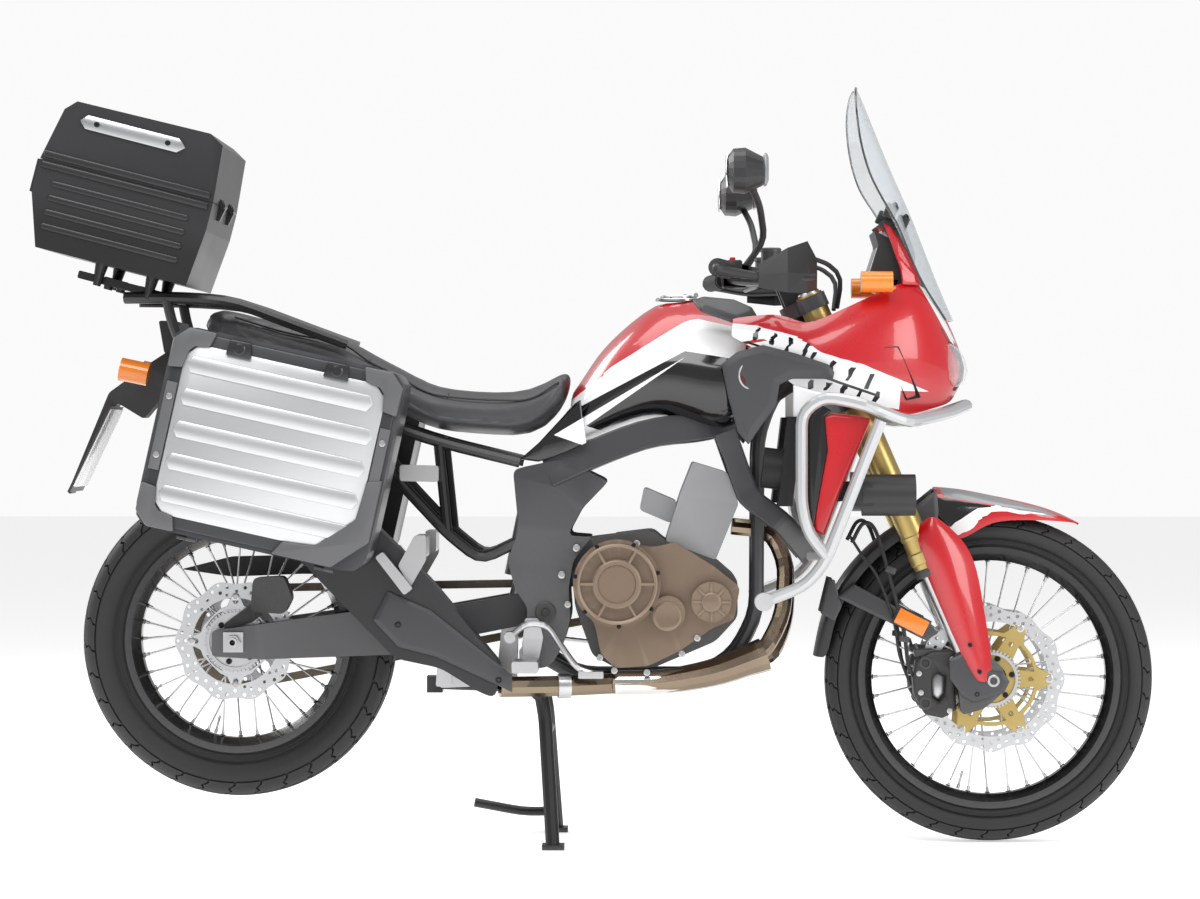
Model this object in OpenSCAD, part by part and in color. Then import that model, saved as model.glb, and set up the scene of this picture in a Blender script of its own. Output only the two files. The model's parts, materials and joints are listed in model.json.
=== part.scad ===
// Adventure motorcycle on its centre stand, in millimetres.
// +X is forward, +Y is left, +Z is up, the floor is Z = 0.
// Side outlines are lists of [x, z]; x counts forward from where the standard rear axle sits.

/* [Stance] */
// Height of the rear axle above the floor, on the centre stand
rear_axle_h = 428; // [420:1:440]
// Floor distance from the rear axle to the swingarm pivot
swingarm_l = 656; // [650:1:800]

/* [Front wheel] */
// Outer radius of the front tyre
front_tyre_r = 348; // [335:1:352]
// Width of the front tyre
front_tyre_w = 92; // [80:1:112]
// Radius of the front rim's bead seat
front_bead_r = 267; // [250:1:275]
// Outer radius of the front brake discs
front_disc_r = 155; // [130:1:165]

/* [Rear wheel] */
// Outer radius of the rear tyre
rear_tyre_r = 334; // [280:1:336]
// Width of the rear tyre
rear_tyre_w = 150; // [125:1:152]
// Radius of the rear rim's bead seat
rear_bead_r = 229; // [190:1:235]
// Outer radius of the rear brake disc
rear_disc_r = 128; // [106:1:135]
// Pitch radius of the rear sprocket
sprocket_r = 106; // [88:1:110]

/* [Wheel fittings] */
// Outer radius of both wheel axles
axle_r = 10; // [8.3:0.1:12]
// Bore radius through both hollow axles
axle_bore_r = 6; // [5:0.1:7.2]
// Radial clearance of everything that turns on a shaft
running_gap = 0.05; // [0.02:0.01:0.1]
// Clear gap on each side of a brake disc in its caliper
pad_gap = 5; // [4:0.5:6]
// Spoke radius
spoke_r = 1.9; // [1.6:0.1:2.3]

/* [Steering] */
// Steering axis, degrees from upright
rake = 23.6; // [22:0.1:25]
// Where the steering axis meets the floor
steer_floor_x = 1677; // [1670:1:1690]
// Distance from the steering axis forward to the front axle
axle_offset = 60; // [50:1:65]
// Distance between the two fork legs, centre to centre
fork_spread = 212; // [205:1:256]
// Radius of the gold upper fork legs
fork_upper_r = 28.5; // [25:0.5:30]
// Radius of the bright lower fork tubes
fork_lower_r = 21.5; // [18:0.5:22]
// Radius of the steering stem
stem_r = 17; // [14:0.5:20.5]

/* [Handlebar] */
// Distance from the middle plane to the end of each grip
grip_end_y = 430; // [400:1:440]
// Radius of the grips
grip_r = 17; // [15:0.5:20.5]

/* [Cases] */
// Length of each pannier
pannier_l = 475; // [440:1:500]
// Height of each pannier
pannier_h = 412; // [360:1:430]
// Distance from the middle plane to the inner face of each pannier
pannier_in = 238; // [234:1:285]
// Distance from the middle plane to the outer face of each pannier
pannier_out = 475; // [420:1:500]
// Depth of the pannier lids
pannier_lid_d = 78; // [65:1:94]
// Width of the top box
top_box_w = 436; // [380:1:524]
// Wall thickness of the cases
case_wall = 4; // [3:0.2:5]
// Hinge pin radius of the cases
hinge_pin_r = 3; // [2.5:0.1:3.6]

/* [Stands] */
// Distance from the middle plane to the middle of each centre stand foot
stand_foot_y = 172; // [150:1:207]
// Radius of the centre stand's tubes
stand_tube_r = 15; // [12:0.5:18]

/* [Hidden] */
$fn = 48;

// Swingarm pivot, rear axle and front axle, as [x, z]
pivot = [656, 500];
rear_axle_at = [pivot[0] - swingarm_l, rear_axle_h];
// Way along the steering axis from the floor to the point square to the front axle
axle_s = (front_tyre_r - axle_offset * sin(rake)) / cos(rake);
front_axle_at = [steer_floor_x - axle_s * sin(rake) + axle_offset * cos(rake), front_tyre_r];

// Heights along the steering axis
gold_s = 621;
low_clamp_s = 994;
clamp_t = 50;
head_s = 1056;
head_l = 146;
top_clamp_s = 1214;
top_clamp_t = 30;
fork_n = 30;
mirror_y = 396;
lug_half = 21;

// Lateral places across the bike
tyre_side = rear_tyre_w / 2;
chain_y = 92;
arm_in = 108;
arm_out = 136;
plate_in = 122;
plate_out = 146;
disc_t = 5;
gearbox_side = 56;
front_disc_y = 68;
rear_disc_y = -90;

// Cases: tilt, corner and the top box outline's key sizes
pannier_tilt = 12.6;
pannier_at = [-122, 675];
pannier_corner = 45;
lid_gap = 1;
top_box_tilt = 14.5;
top_box_at = [-402, 1252];
top_box_split = 180;
bumper_x = -46;
bumper_z = 110;

// Middle of the whole length, which becomes X = 0
tail_x = top_box_at[0] + bumper_x * cos(top_box_tilt) + bumper_z * sin(top_box_tilt);
x_mid = (tail_x + front_axle_at[0] + front_tyre_r) / 2;

// Pivots of the stands
stand_pivot = [640, 322];
stand_pivot_y = 100;
prop_pivot = [612, 318];

// ---- Shape helpers ----

function unit(v) = v / norm(v);

// Curve over one corner b between neighbours a and c, reaching d along both edges
function corner(a, b, c, r, n) =
    let (d = min(r, 0.45 * norm(a - b), 0.45 * norm(c - b)),
         s = b + unit(a - b) * d, e = b + unit(c - b) * d)
    [for (k = [0:n]) let (t = k / n) (1 - t) * (1 - t) * s + 2 * t * (1 - t) * b + t * t * e];

// Open path with eased corners
function eased(p, r, n = 3) = concat([p[0]],
    [for (i = [1:len(p) - 2]) each corner(p[i - 1], p[i], p[i + 1], r, n)], [p[len(p) - 1]]);

// Closed outline with eased corners
function rounded(p, r, n = 3) = let (m = len(p))
    [for (i = [0:m - 1]) each corner(p[(i + m - 1) % m], p[i], p[(i + 1) % m], r, n)];

// Round outline and rounded box outline, both counter-clockwise
function circle_pts(r, n = 10) = [for (i = [0:n - 1]) r * [cos(360 * i / n), sin(360 * i / n)]];
function box_pts(w, h, r = 4) =
    rounded([[-w / 2, -h / 2], [w / 2, -h / 2], [w / 2, h / 2], [-w / 2, h / 2]], r, 2);

// Section of a mudguard: half width w, lips that drop by h, sloping over e
function gutter(w, h, e) = [[w - 4, h], [w - e, 0], [e - w, 0], [4 - w, h], [-w, h], [e - 4 - w, -4],
    [w - e + 4, -4], [w, h]];

// Outline moved inward by d; the outline runs counter-clockwise
function inset(p, d) = let (m = len(p))
    [for (i = [0:m - 1]) let (u = unit(p[i] - p[(i + m - 1) % m]), v = unit(p[(i + 1) % m] - p[i]),
        nu = [-u[1], u[0]], nv = [-v[1], v[0]]) p[i] + (nu + nv) * d / (1 + nu * nv)];

// Superellipse ring in the YZ plane at x; e0 shapes its lower half and e1 its upper half
function body_ring(x, z0, z1, w, e0, e1, n = 24) = let (c = (z0 + z1) / 2, h = (z1 - z0) / 2)
    [for (i = [0:n - 1]) let (a = 360 * i / n, ca = cos(a), sa = sin(a), e = sa > 0 ? e1 : e0)
        [x, w * sign(ca) * pow(abs(ca), 2 / e), c + h * sign(sa) * pow(abs(sa), 2 / e)]];

// Normals carried along a path's tangents
function carried(t, a, i = 0) = i == len(t) ? [] :
    let (b = unit(a - (a * t[i]) * t[i])) concat([b], carried(t, b, i + 1));

// Closed skin over rings that run counter-clockwise about the way they follow. Each end is closed
// by a ladder of facets between point j and its opposite, so a ring is an outer and an inner row.
module skin(rings) {
    n = len(rings[0]);
    m = len(rings);
    sides = [for (i = [0:m - 2], j = [0:n - 1])
        let (k = (j + 1) % n, a = i * n + j, b = i * n + k, c = b + n, d = a + n)
        each [[a, d, c], [a, c, b]]];
    last = (m - 1) * n;
    ends = [for (j = [0:n / 2 - 2]) let (a = j, b = j + 1, c = n - 2 - j, d = n - 1 - j)
        each [[a, b, c], [a, c, d], [last + a, last + c, last + b], [last + a, last + d, last + c]]];
    polyhedron([for (r = rings) each r], concat(sides, ends));
}

// Outline swept along a path of 3-D points; k scales it point by point
module sweep(path, outline, ref = [0, 1, 0], k = []) {
    m = len(path);
    t = [for (i = [0:m - 1]) unit(path[min(i + 1, m - 1)] - path[max(i - 1, 0)])];
    a = carried(t, ref);
    skin([for (i = [0:m - 1]) let (b = cross(t[i], a[i]), f = len(k) > i ? k[i] : [1, 1])
        [for (o = outline) path[i] + a[i] * o[0] * f[0] + b * o[1] * f[1]]]);
}

// Round tube along a path with eased bends
module tube(path, r, bend = 40, n = 10, ref = [0, 1, 0]) {
    sweep(len(path) > 2 ? eased(path, bend) : path, circle_pts(r, n), ref);
}

// Prism over a side outline, between y0 and y1
module slab(points, y0, y1) {
    translate([0, y1, 0]) rotate([90, 0, 0]) linear_extrude(y1 - y0) polygon(points);
}

// Cylinder along Y
module disc(at, y0, y1, r) {
    translate([at[0], y1, at[1]]) rotate([90, 0, 0]) cylinder(h = y1 - y0, r = r);
}

// Straight rod between two points
module rod(p, q, r) {
    v = q - p;
    translate(p) rotate([0, acos(v[2] / norm(v)), atan2(v[1], v[0])]) cylinder(h = norm(v), r = r);
}

// Thin wall over stations [x, z_top, y_top, z_mid, y_mid, z_low, y_low] along X
module strip(stations, t) {
    skin([for (s = stations) [[s[0], s[6], s[5]], [s[0], s[4], s[3]], [s[0], s[2], s[1]],
        [s[0], s[2] - t, s[1]], [s[0], s[4] - t, s[3]], [s[0], s[6] - t, s[5]]]]);
}

// Bowed sheet over stations [x, z, half width, bow] from bottom to top; the bow falls back to -X
module bowed(stations, t, n = 12) {
    skin([for (s = stations) let (p = [for (i = [-n / 2:n / 2]) let (f = 2 * i / n)
        [s[0] - s[3] * f * f, s[2] * f, s[1]]])
        concat([for (q = p) q - [t, 0, 0]], [for (i = [n:-1:0]) p[i]])]);
}

// The same piece on the left and on the right
module pair() {
    children();
    mirror([0, 1, 0]) children();
}

// Whole bike's frame: the middle of its length is X = 0
module bike() {
    translate([-x_mid, 0, 0]) children();
}

// Frame whose Z runs up the steering axis from the floor
module on_axis() {
    translate([steer_floor_x, 0, 0]) rotate([0, -rake, 0]) children();
}

module at_rear_axle() {
    translate([rear_axle_at[0], 0, rear_axle_at[1]]) children();
}

module at_front_axle() {
    translate([front_axle_at[0], 0, front_axle_at[1]]) children();
}

module on_pannier() {
    translate([pannier_at[0], 0, pannier_at[1]]) rotate([0, pannier_tilt, 0]) children();
}

module on_top_box() {
    translate([top_box_at[0], 0, top_box_at[1]]) rotate([0, top_box_tilt, 0]) children();
}

// ---- Wheels ----

// Hollow tyre: outer radius, bead radius, half width and half bead width
module tyre(r, bead, hw, hb) {
    wall = 9;
    c = bead + 0.54 * (r - bead);
    rotate([90, 0, 0]) rotate_extrude($fn = 96) polygon(concat(
        [[bead, -hb], [bead + 11, -hb]],
        [for (a = [-96:12:96]) [c + (r - c) * cos(a), hw * sin(a)]],
        [[bead + 11, hb], [bead, hb], [bead, hb - wall]],
        [for (a = [90:-15:-90]) [c + (r - c - wall) * cos(a), (hw - wall) * sin(a)]],
        [[bead, -hb + wall]]));
}

// Spoked wheel: rim, 36 spokes and a hub with a true bore
module spoked_wheel(bead, hb, hub_r, hub_in, hub_out, flange_y) {
    rim_in = bead - 19;
    rotate([90, 0, 0]) rotate_extrude($fn = 96) polygon([[bead, hb], [bead + 10, hb],
        [bead + 10, hb + 5], [bead - 4, hb + 5], [rim_in, 14], [rim_in, -14],
        [bead - 4, -hb - 5], [bead + 10, -hb - 5], [bead + 10, -hb], [bead, -hb],
        [bead, -hb + 14], [bead - 13, -9], [bead - 13, 9], [bead, hb - 14]]);
    difference() {
        union() {
            disc([0, 0], hub_in, hub_out, hub_r);
            pair() disc([0, 0], flange_y - 3, flange_y + 3, hub_r + 16);
        }
        disc([0, 0], hub_in - 1, hub_out + 1, axle_r + running_gap);
    }
    for (side = [-1, 1], k = [0:8], lead = [-1, 1]) {
        a = 40 * k + (lead > 0 ? 0 : 20) + (side > 0 ? 10 : 0);
        b = a + 60 * lead;
        start = hub_r - 6;
        rod([start * cos(a), side * (flange_y + 5 * lead), start * sin(a)],
            [(rim_in + 3) * cos(b), side * 7, (rim_in + 3) * sin(b)], spoke_r, $fn = 16);
    }
}

// Wave-edged brake disc with a spider; the bore sits on the hub's end
module brake_disc(r, ring_w, spider_r, y, lobes) {
    translate([0, y + disc_t / 2, 0]) rotate([90, 0, 0]) linear_extrude(disc_t) difference() {
        polygon([for (a = [0:3:357]) (r - 4 + 4 * cos(lobes * a)) * [cos(a), sin(a)]]);
        for (k = [0:5]) rotate(60 * k) polygon(concat(
            [for (a = [8:4:52]) (r - ring_w) * [cos(a), sin(a)]],
            [for (a = [46:-8:14]) spider_r * [cos(a), sin(a)]]));
        circle(r = 26);
    }
}

module front_tyre() {
    bike() color("#1b1b1c") at_front_axle() tyre(front_tyre_r, front_bead_r, front_tyre_w / 2, 27);
}

module front_wheel() {
    bike() color("#202124") at_front_axle()
        spoked_wheel(front_bead_r, 27, 26, -front_disc_y + 2.5, front_disc_y - 2.5, 40);
}

module front_discs() {
    bike() color("#b9bcc0") at_front_axle() for (y = [-front_disc_y, front_disc_y])
        brake_disc(front_disc_r, 32, 56, y, 12);
}

module front_axle() {
    bike() color("#8d9094") at_front_axle() difference() {
        union() {
            disc([0, 0], -fork_spread / 2 - 24, fork_spread / 2 + 24, axle_r);
            pair() disc([0, 0], front_disc_y + 6, fork_spread / 2 - lug_half, axle_r + 5);
        }
        disc([0, 0], -fork_spread, fork_spread, axle_bore_r);
    }
}

module rear_tyre() {
    bike() color("#1b1b1c") at_rear_axle() tyre(rear_tyre_r, rear_bead_r, tyre_side, 52);
}

module rear_wheel() {
    bike() color("#202124") at_rear_axle()
        spoked_wheel(rear_bead_r, 52, 30, rear_disc_y + 2.5, chain_y - 4, 52);
}

module rear_disc() {
    bike() color("#b9bcc0") at_rear_axle() brake_disc(rear_disc_r, 34, 58, rear_disc_y, 10);
}

module rear_sprocket() {
    bike() color("#77797c") at_rear_axle() translate([0, chain_y + 4, 0]) rotate([90, 0, 0])
        linear_extrude(8) difference() {
            polygon([for (a = [0:3:357]) (sprocket_r - 12) * [cos(a), sin(a)]]);
            circle(r = 26);
            for (k = [0:4]) rotate(72 * k) translate([58, 0]) circle(r = 17);
        }
}

module rear_axle() {
    bike() color("#a9abad") at_rear_axle() difference() {
        union() {
            disc([0, 0], -arm_out - 22, arm_out + 22, axle_r);
            pair() disc([0, 0], chain_y + 8, arm_in, axle_r + 5);
            pair() translate([-21, arm_out, -21]) cube([42, 6, 42]);
            pair() disc([0, 0], arm_out + 6, arm_out + 17, axle_r + 6, $fn = 6);
        }
        disc([0, 0], -arm_out - 40, arm_out + 40, axle_bore_r);
    }
}

// ---- Frame, swingarm, running gear ----

module main_frame() {
    bike() color("#3a3b3d") difference() {
        union() {
            on_axis() translate([0, 0, head_s]) cylinder(h = head_l, r = stem_r + 12);
            pair() {
                sweep(eased([[1226, 14, 1016], [1130, 58, 962], [1050, 104, 896], [980, 132, 878],
                    [870, 134, 868], [760, 134, 826], [660, 134, 780]], 50), box_pts(24, 60));
                slab(rounded([[586, 790], [690, 812], [786, 765], [728, 705], [700, 652],
                    [752, 648], [738, 634], [712, 600], [702, 540], [706, 480], [690, 420],
                    [664, 378], [622, 372], [604, 420], [618, 500], [590, 540], [575, 600],
                    [598, 664]], 14), plate_in, plate_out);
                tube([[1216, 16, 1010], [1135, 60, 950], [1100, 70, 860], [1098, 70, 480],
                    [1050, 66, 392], [980, 64, 352], [720, 64, 352], [655, 110, 392],
                    [650, 126, 410]], 14, 40);
                sweep(eased([[1030, 128, 868], [1078, 134, 732], [1150, 150, 678],
                    [1205, 205, 612]], 20), box_pts(22, 46));
                rod([650, 0, 398], [650, plate_in + 4, 398], 15);
                rod([690, 0, 770], [690, plate_in + 4, 770], 15);
            }
        }
        on_axis() translate([0, 0, head_s - 30]) cylinder(h = head_l + 60, r = stem_r + running_gap);
    }
}

module subframe() {
    bike() color("#333436") {
        pair() {
            tube([[600, 133, 806], [420, 128, 850], [250, 120, 910], [-110, 112, 1010]], 13, 60);
            tube([[600, 134, 640], [518, 134, 600], [449, 134, 655], [351, 130, 760],
                [250, 122, 890]], 12, 30);
            tube([[449, 134, 655], [430, 130, 840]], 11);
        }
        rod([40, -114, 968], [40, 114, 968], 12);
        rod([430, -126, 846], [430, 126, 846], 12);
    }
}

module swingarm() {
    bike() color("#434446") difference() {
        union() {
            pair() {
                slab(rounded([rear_axle_at + [-46, -30], rear_axle_at + [60, -36], [330, 402],
                    [404, 418], [404, 494], [250, 492], rear_axle_at + [46, 36],
                    rear_axle_at + [-46, 24]], 10), arm_in, arm_out);
                slab(rounded([[350, 412], [420, 424], [650, 470], [656, 530], [600, 528],
                    [420, 496], [350, 492]], 8), 44, 76);
                disc(pivot, 70, plate_in, 30);
            }
            slab(rounded([[350, 414], [404, 420], [404, 492], [350, 490]], 8), -arm_in, arm_in);
            disc(pivot, -50, 50, 24);
        }
        disc(rear_axle_at, -arm_out - 1, arm_out + 1, axle_r);
        slab([[330, 394], [440, 394], [440, 372], [330, 372]], -200, 200);
    }
}

module rear_shock() {
    bike() color("#8c8f92") {
        rod([575, 0, 470], [600, 0, 560], 16);
        rod([600, 0, 560], [632, 0, 716], 38);
        rod([632, 0, 716], [645, 0, 766], 18);
        slab(rounded([[425, 325], [500, 328], [590, 340], [592, 478], [560, 480], [548, 362],
            [430, 352]], 8), -26, 26);
        pair() slab(rounded([[418, 328], [452, 330], [450, 412], [424, 412]], 6), 26, 34);
    }
}

module drive_chain() {
    front = [742, 505];
    front_r = 41;
    rear = rear_axle_at;
    run = front - rear;
    tilt = atan2(run[1], run[0]);
    open = asin((sprocket_r - front_r) / norm(run));
    loop_pts = function (grow) concat(
        [for (i = [0:24]) let (a = 90 + open + (180 - 2 * open) * i / 24)
            rear + (sprocket_r + grow) * [cos(a + tilt), sin(a + tilt)]],
        [for (i = [0:14]) let (a = -90 - open + (180 + 2 * open) * i / 14)
            front + (front_r + grow) * [cos(a + tilt), sin(a + tilt)]]);
    bike() color("#5c5346") {
        difference() {
            slab(loop_pts(8), chain_y - 9, chain_y + 9);
            slab(loop_pts(-9), chain_y - 20, chain_y + 20);
        }
        disc(front, chain_y - 4, chain_y + 4, front_r - 9);
        disc(front, gearbox_side, chain_y - 4, 16);
    }
}

module rear_hugger() {
    a0 = 12;
    a1 = 84;
    arc = [for (a = [a0:8:a1]) [rear_axle_at[0] + (rear_tyre_r + 12) * cos(a), 0,
        rear_axle_at[1] + (rear_tyre_r + 12) * sin(a)]];
    bike() color("#242526") {
        sweep(arc, gutter(tyre_side - 5, 10, 12));
        slab(rounded([[-140, 572], [-30, 600], [150, 604], [330, 596], [330, 560],
            [120, 562], [-30, 556]], 8), chain_y + 12, chain_y + 17);
        slab(rounded([[318, 488], [352, 488], [352, 600], [326, 600]], 5), chain_y + 12, chain_y + 17);
        slab([[232, 590], [262, 590], [262, 690], [232, 700]], tyre_side + 6, chain_y + 17);
        slab([[232, 674], [262, 662], [262, 690], [232, 700]], tyre_side - 18, chain_y + 17);
    }
}

// ---- Engine ----

module engine() {
    block = rounded([[700, 640], [716, 500], [752, 400], [800, 374], [880, 374], [1010, 430],
        [1056, 480], [1056, 560], [1010, 600], [905, 640], [880, 662]], 12);
    bike() color("#4b4a48") {
        slab(block, -plate_in + 2, gearbox_side);
        intersection() {
            slab(block, 0, plate_in - 2);
            slab([[800, 300], [1200, 300], [1200, 700], [800, 700]], -10, plate_in);
        }
    }
}

module engine_covers() {
    clutch = [804, 553];
    pump = [1000, 515];
    bike() color("#8f7d69") {
        translate([0, -plate_in + 2, 0]) mirror([0, 1, 0]) {
            slab(rounded([[745, 620], [790, 640], [880, 628], [925, 638], [1006, 588],
                [1060, 545], [1048, 478], [1000, 458], [935, 412], [868, 380], [800, 376],
                [770, 405], [758, 465], [724, 520]], 10), 0, 40);
            disc(clutch, 0, 78, 91);
            disc(clutch, 78, 92, 52);
            disc([910, 492], 40, 62, 36);
            disc(pump, 40, 66, 42);
        }
        translate([0, plate_in - 2, 0]) {
            disc([930, 520], 0, 70, 88);
            disc([930, 520], 70, 82, 60);
            slab(rounded([[800, 600], [980, 610], [1040, 540], [1000, 450], [880, 400],
                [800, 420]], 12), 0, 34);
        }
    }
}

module cylinder_head() {
    bike() color("#8f9193") {
        slab(rounded([[905, 640], [1010, 600], [1058, 718], [1034, 784], [962, 806], [936, 740]],
            6), -118, 118);
        slab(rounded([[860, 752], [930, 722], [916, 676], [850, 704]], 8), -80, 80);
    }
}

module radiators() {
    bike() color("#1f2021") pair() {
        slab([[1136, 715], [1166, 715], [1188, 900], [1158, 900]], 150, 240);
        translate([1106, 194, 795]) rotate([0, 97, 0]) cylinder(h = 50, r = 42);
    }
}

module exhaust_pipes() {
    bike() {
        color("#7d6a4c") {
            tube([[1046, -30, 668], [1128, -30, 660], [1160, -34, 590], [1152, -84, 480],
                [1112, -122, 410], [1070, -124, 392]], 18, 50);
            tube([[1046, 30, 668], [1128, 30, 660], [1164, 24, 590], [1160, -34, 470],
                [1128, -92, 400], [1080, -120, 384]], 18, 50);
        }
        color("#c9cbcd") {
            sweep(eased([[1112, -116, 402], [1085, -120, 392], [1010, -122, 364],
                [900, -126, 344], [795, -126, 342]], 40), circle_pts(1, 12),
                k = [for (i = [0:13]) [38 - i * 0.7, 36 - i]]);
            tube([[800, -126, 342], [690, -150, 338], [560, -182, 338]], 22, 40);
        }
    }
}

module silencer() {
    bike() color("#222325") slab(rounded([[566, 384], [552, 318], [520, 330], [440, 380],
        [345, 400], [190, 560], [70, 690], [170, 775], [300, 680], [420, 560]], 18), -232, -144);
}

// ---- Bodywork ----

// Body over stations [x, z_low, z_high, half width, lower roundness, upper roundness]
module lofted(stations) {
    skin([for (s = stations) body_ring(s[0], s[1], s[2], s[3], s[4], s[5])]);
}

module fuel_tank() {
    bike() color("#c1121f") difference() {
        lofted([[702, 886, 962, 112, 2.6, 2.2], [735, 880, 1004, 150, 2.8, 2.1],
            [790, 902, 1062, 172, 3, 2], [850, 916, 1116, 186, 3, 1.8],
            [900, 918, 1148, 196, 3, 1.6], [960, 916, 1152, 202, 3, 1.6],
            [1020, 934, 1146, 202, 3, 1.6], [1060, 950, 1134, 194, 3, 1.6]]);
        translate([930, 0, 1146]) cylinder(h = 20, r = 40);
    }
}

module fuel_cap() {
    bike() color("#9b9da0") {
        translate([930, 0, 1148]) cylinder(h = 9, r = 37);
        disc([970, 1159], -12, 12, 5);
    }
}

module seat() {
    bike() color("#3b3c3e") lofted([[-76, 1072, 1134, 96, 3, 3.4], [0, 1052, 1118, 122, 3, 3.4],
        [110, 1012, 1086, 132, 3, 3.4], [224, 968, 1066, 136, 3, 3.4], [285, 940, 1026, 138, 3, 3.4],
        [340, 912, 1000, 142, 3, 3.4], [398, 880, 966, 150, 3, 3.4], [449, 868, 953, 156, 3, 3.4],
        [547, 862, 946, 152, 3, 3.4], [620, 858, 950, 138, 3, 3.4], [680, 900, 984, 112, 3, 3.4],
        [700, 966, 1000, 100, 3, 3.4]]);
}

module front_cowl() {
    bike() color("#c1121f") pair() strip([[1066, 1102, 168, 1086, 196, 1066, 200],
        [1120, 1098, 172, 1076, 206, 1046, 212], [1200, 1086, 184, 1054, 216, 1020, 218],
        [1262, 1116, 178, 1040, 214, 972, 208], [1330, 1146, 164, 1040, 204, 930, 190],
        [1400, 1178, 140, 1050, 184, 902, 164], [1438, 1204, 112, 1058, 160, 915, 140],
        [1466, 1150, 92, 1040, 138, 922, 122], [1500, 1092, 58, 1020, 100, 932, 92],
        [1524, 1040, 8, 1000, 60, 952, 50]], 5);
}

module side_shrouds() {
    bike() color("#2b2c2e") pair() strip([[985, 960, 206, 920, 208, 870, 196],
        [1023, 1010, 208, 940, 216, 858, 204], [1076, 1034, 212, 960, 224, 850, 210],
        [1108, 1040, 222, 980, 230, 880, 214], [1140, 1034, 222, 990, 230, 930, 220],
        [1240, 1004, 226, 990, 230, 978, 220]], 6);
}

module radiator_shrouds() {
    bike() color("#a80f1b") pair() strip([[1206, 720, 240, 700, 242, 668, 240],
        [1214, 880, 240, 760, 246, 658, 242], [1240, 905, 242, 800, 250, 680, 244],
        [1290, 900, 244, 850, 252, 800, 246], [1326, 894, 240, 888, 244, 882, 240]], 5);
}

module windscreen() {
    bike() color("#cfd6da", 0.4) bowed([[1515, 1108, 80, 22], [1478, 1190, 134, 42],
        [1440, 1290, 160, 48], [1420, 1340, 186, 58], [1392, 1400, 214, 64],
        [1362, 1470, 212, 54], [1334, 1540, 188, 34], [1316, 1582, 130, 14],
        [1312, 1594, 60, 4]], 4);
}

module instrument_panel() {
    bike() color("#27282a") {
        slab(rounded([[1342, 1293], [1398, 1262], [1400, 1188], [1330, 1186], [1352, 1262]], 5),
            -92, 92);
        slab([[1372, 1190], [1398, 1190], [1400, 1120], [1330, 1050], [1250, 1034],
            [1244, 1060], [1320, 1080], [1372, 1130]], -18, 18);
        pair() slab(rounded([[1384, 1150], [1420, 1150], [1430, 1240], [1406, 1310], [1390, 1310],
            [1408, 1240]], 6), 80, 92);
        slab(rounded([[1384, 1150], [1420, 1150], [1420, 1172], [1384, 1172]], 4), -92, 92);
    }
}

module headlights() {
    bike() color("#dfe4e8") pair() {
        slab(rounded([[1400, 1064], [1470, 1078], [1490, 1040], [1498, 1000], [1492, 962],
            [1452, 956], [1400, 980]], 10), 22, 86);
    }
}

module crash_bars() {
    bike() color("#c4c6c8") {
        pair() {
            tube([[1107, 234, 518], [1193, 250, 552], [1232, 262, 600], [1345, 288, 892]], 13, 30);
            disc([1107, 518], 214, 256, 19);
            tube([[1236, 264, 612], [1197, 262, 662], [1184, 262, 718], [1184, 264, 907],
                [1228, 274, 941], [1303, 286, 928], [1404, 250, 888], [1500, 120, 908],
                [1540, 50, 924]], 13, 34);
            tube([[1204, 205, 612], [1238, 262, 616]], 11);
        }
        tube([[1540, 50, 924], [1540, -50, 924]], 13, ref = [0, 0, 1]);
    }
}

module fog_lamps() {
    bike() color("#202123") pair() {
        rod([1310, 222, 738], [1420, 222, 738], 43);
        slab([[1286, 760], [1330, 760], [1330, 716], [1270, 716]], 240, 262);
    }
}

module rear_carrier() {
    bike() color("#2c2d2f") {
        pair() {
            tube([[240, 142, 1052], [110, 150, 1100], [0, 150, 1142], [-120, 140, 1150],
                [-230, 110, 1150]], 13, 50);
            tube([[-60, 118, 1000], [-60, 226, 1000], [250, 226, 940], [310, 226, 800],
                [60, 226, 810], [-80, 226, 900], [-70, 226, 985]], 9, 30, ref = [0, 0, 1]);
            tube([[-100, 116, 1020], [-130, 130, 1100], [-140, 136, 1150]], 11, 30);
        }
        slab(rounded([[-330, 1192], [-130, 1140], [-126, 1156], [-326, 1208]], 4), -120, 120);
    }
}

module tail_unit() {
    bike() color("#232425") {
        slab(rounded([[-130, 1050], [-100, 1052], [0, 1040], [110, 1000], [224, 955], [300, 925],
            [300, 900], [-20, 990], [-120, 1020]], 6), -100, 100);
        slab(rounded([[-150, 1040], [-120, 1040], [-140, 968], [-202, 896], [-258, 930],
            [-358, 736], [-364, 740], [-276, 952], [-196, 1010]], 6), -32, 32);
        slab([[-268, 922], [-262, 922], [-350, 742], [-356, 742]], -90, 90);
        color("#b00012") slab(rounded([[-164, 1103], [-120, 1101], [-122, 1040], [-152, 1034]], 5),
            -80, 80);
    }
}

module indicators() {
    bike() color("#e5862c") pair() {
        translate([-232, 168, 1000]) rotate([0, 12, 0]) rotate([90, 0, 90]) cylinder(h = 60, r = 24);
        rod([-200, 160, 996], [-200, 28, 996], 7);
        translate([1310, 186, 1180]) rotate([90, 0, 90]) cylinder(h = 66, r = 22);
        rod([1350, 170, 1178], [1402, 118, 1160], 7);
    }
}

// ---- Feet, brakes ----

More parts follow.
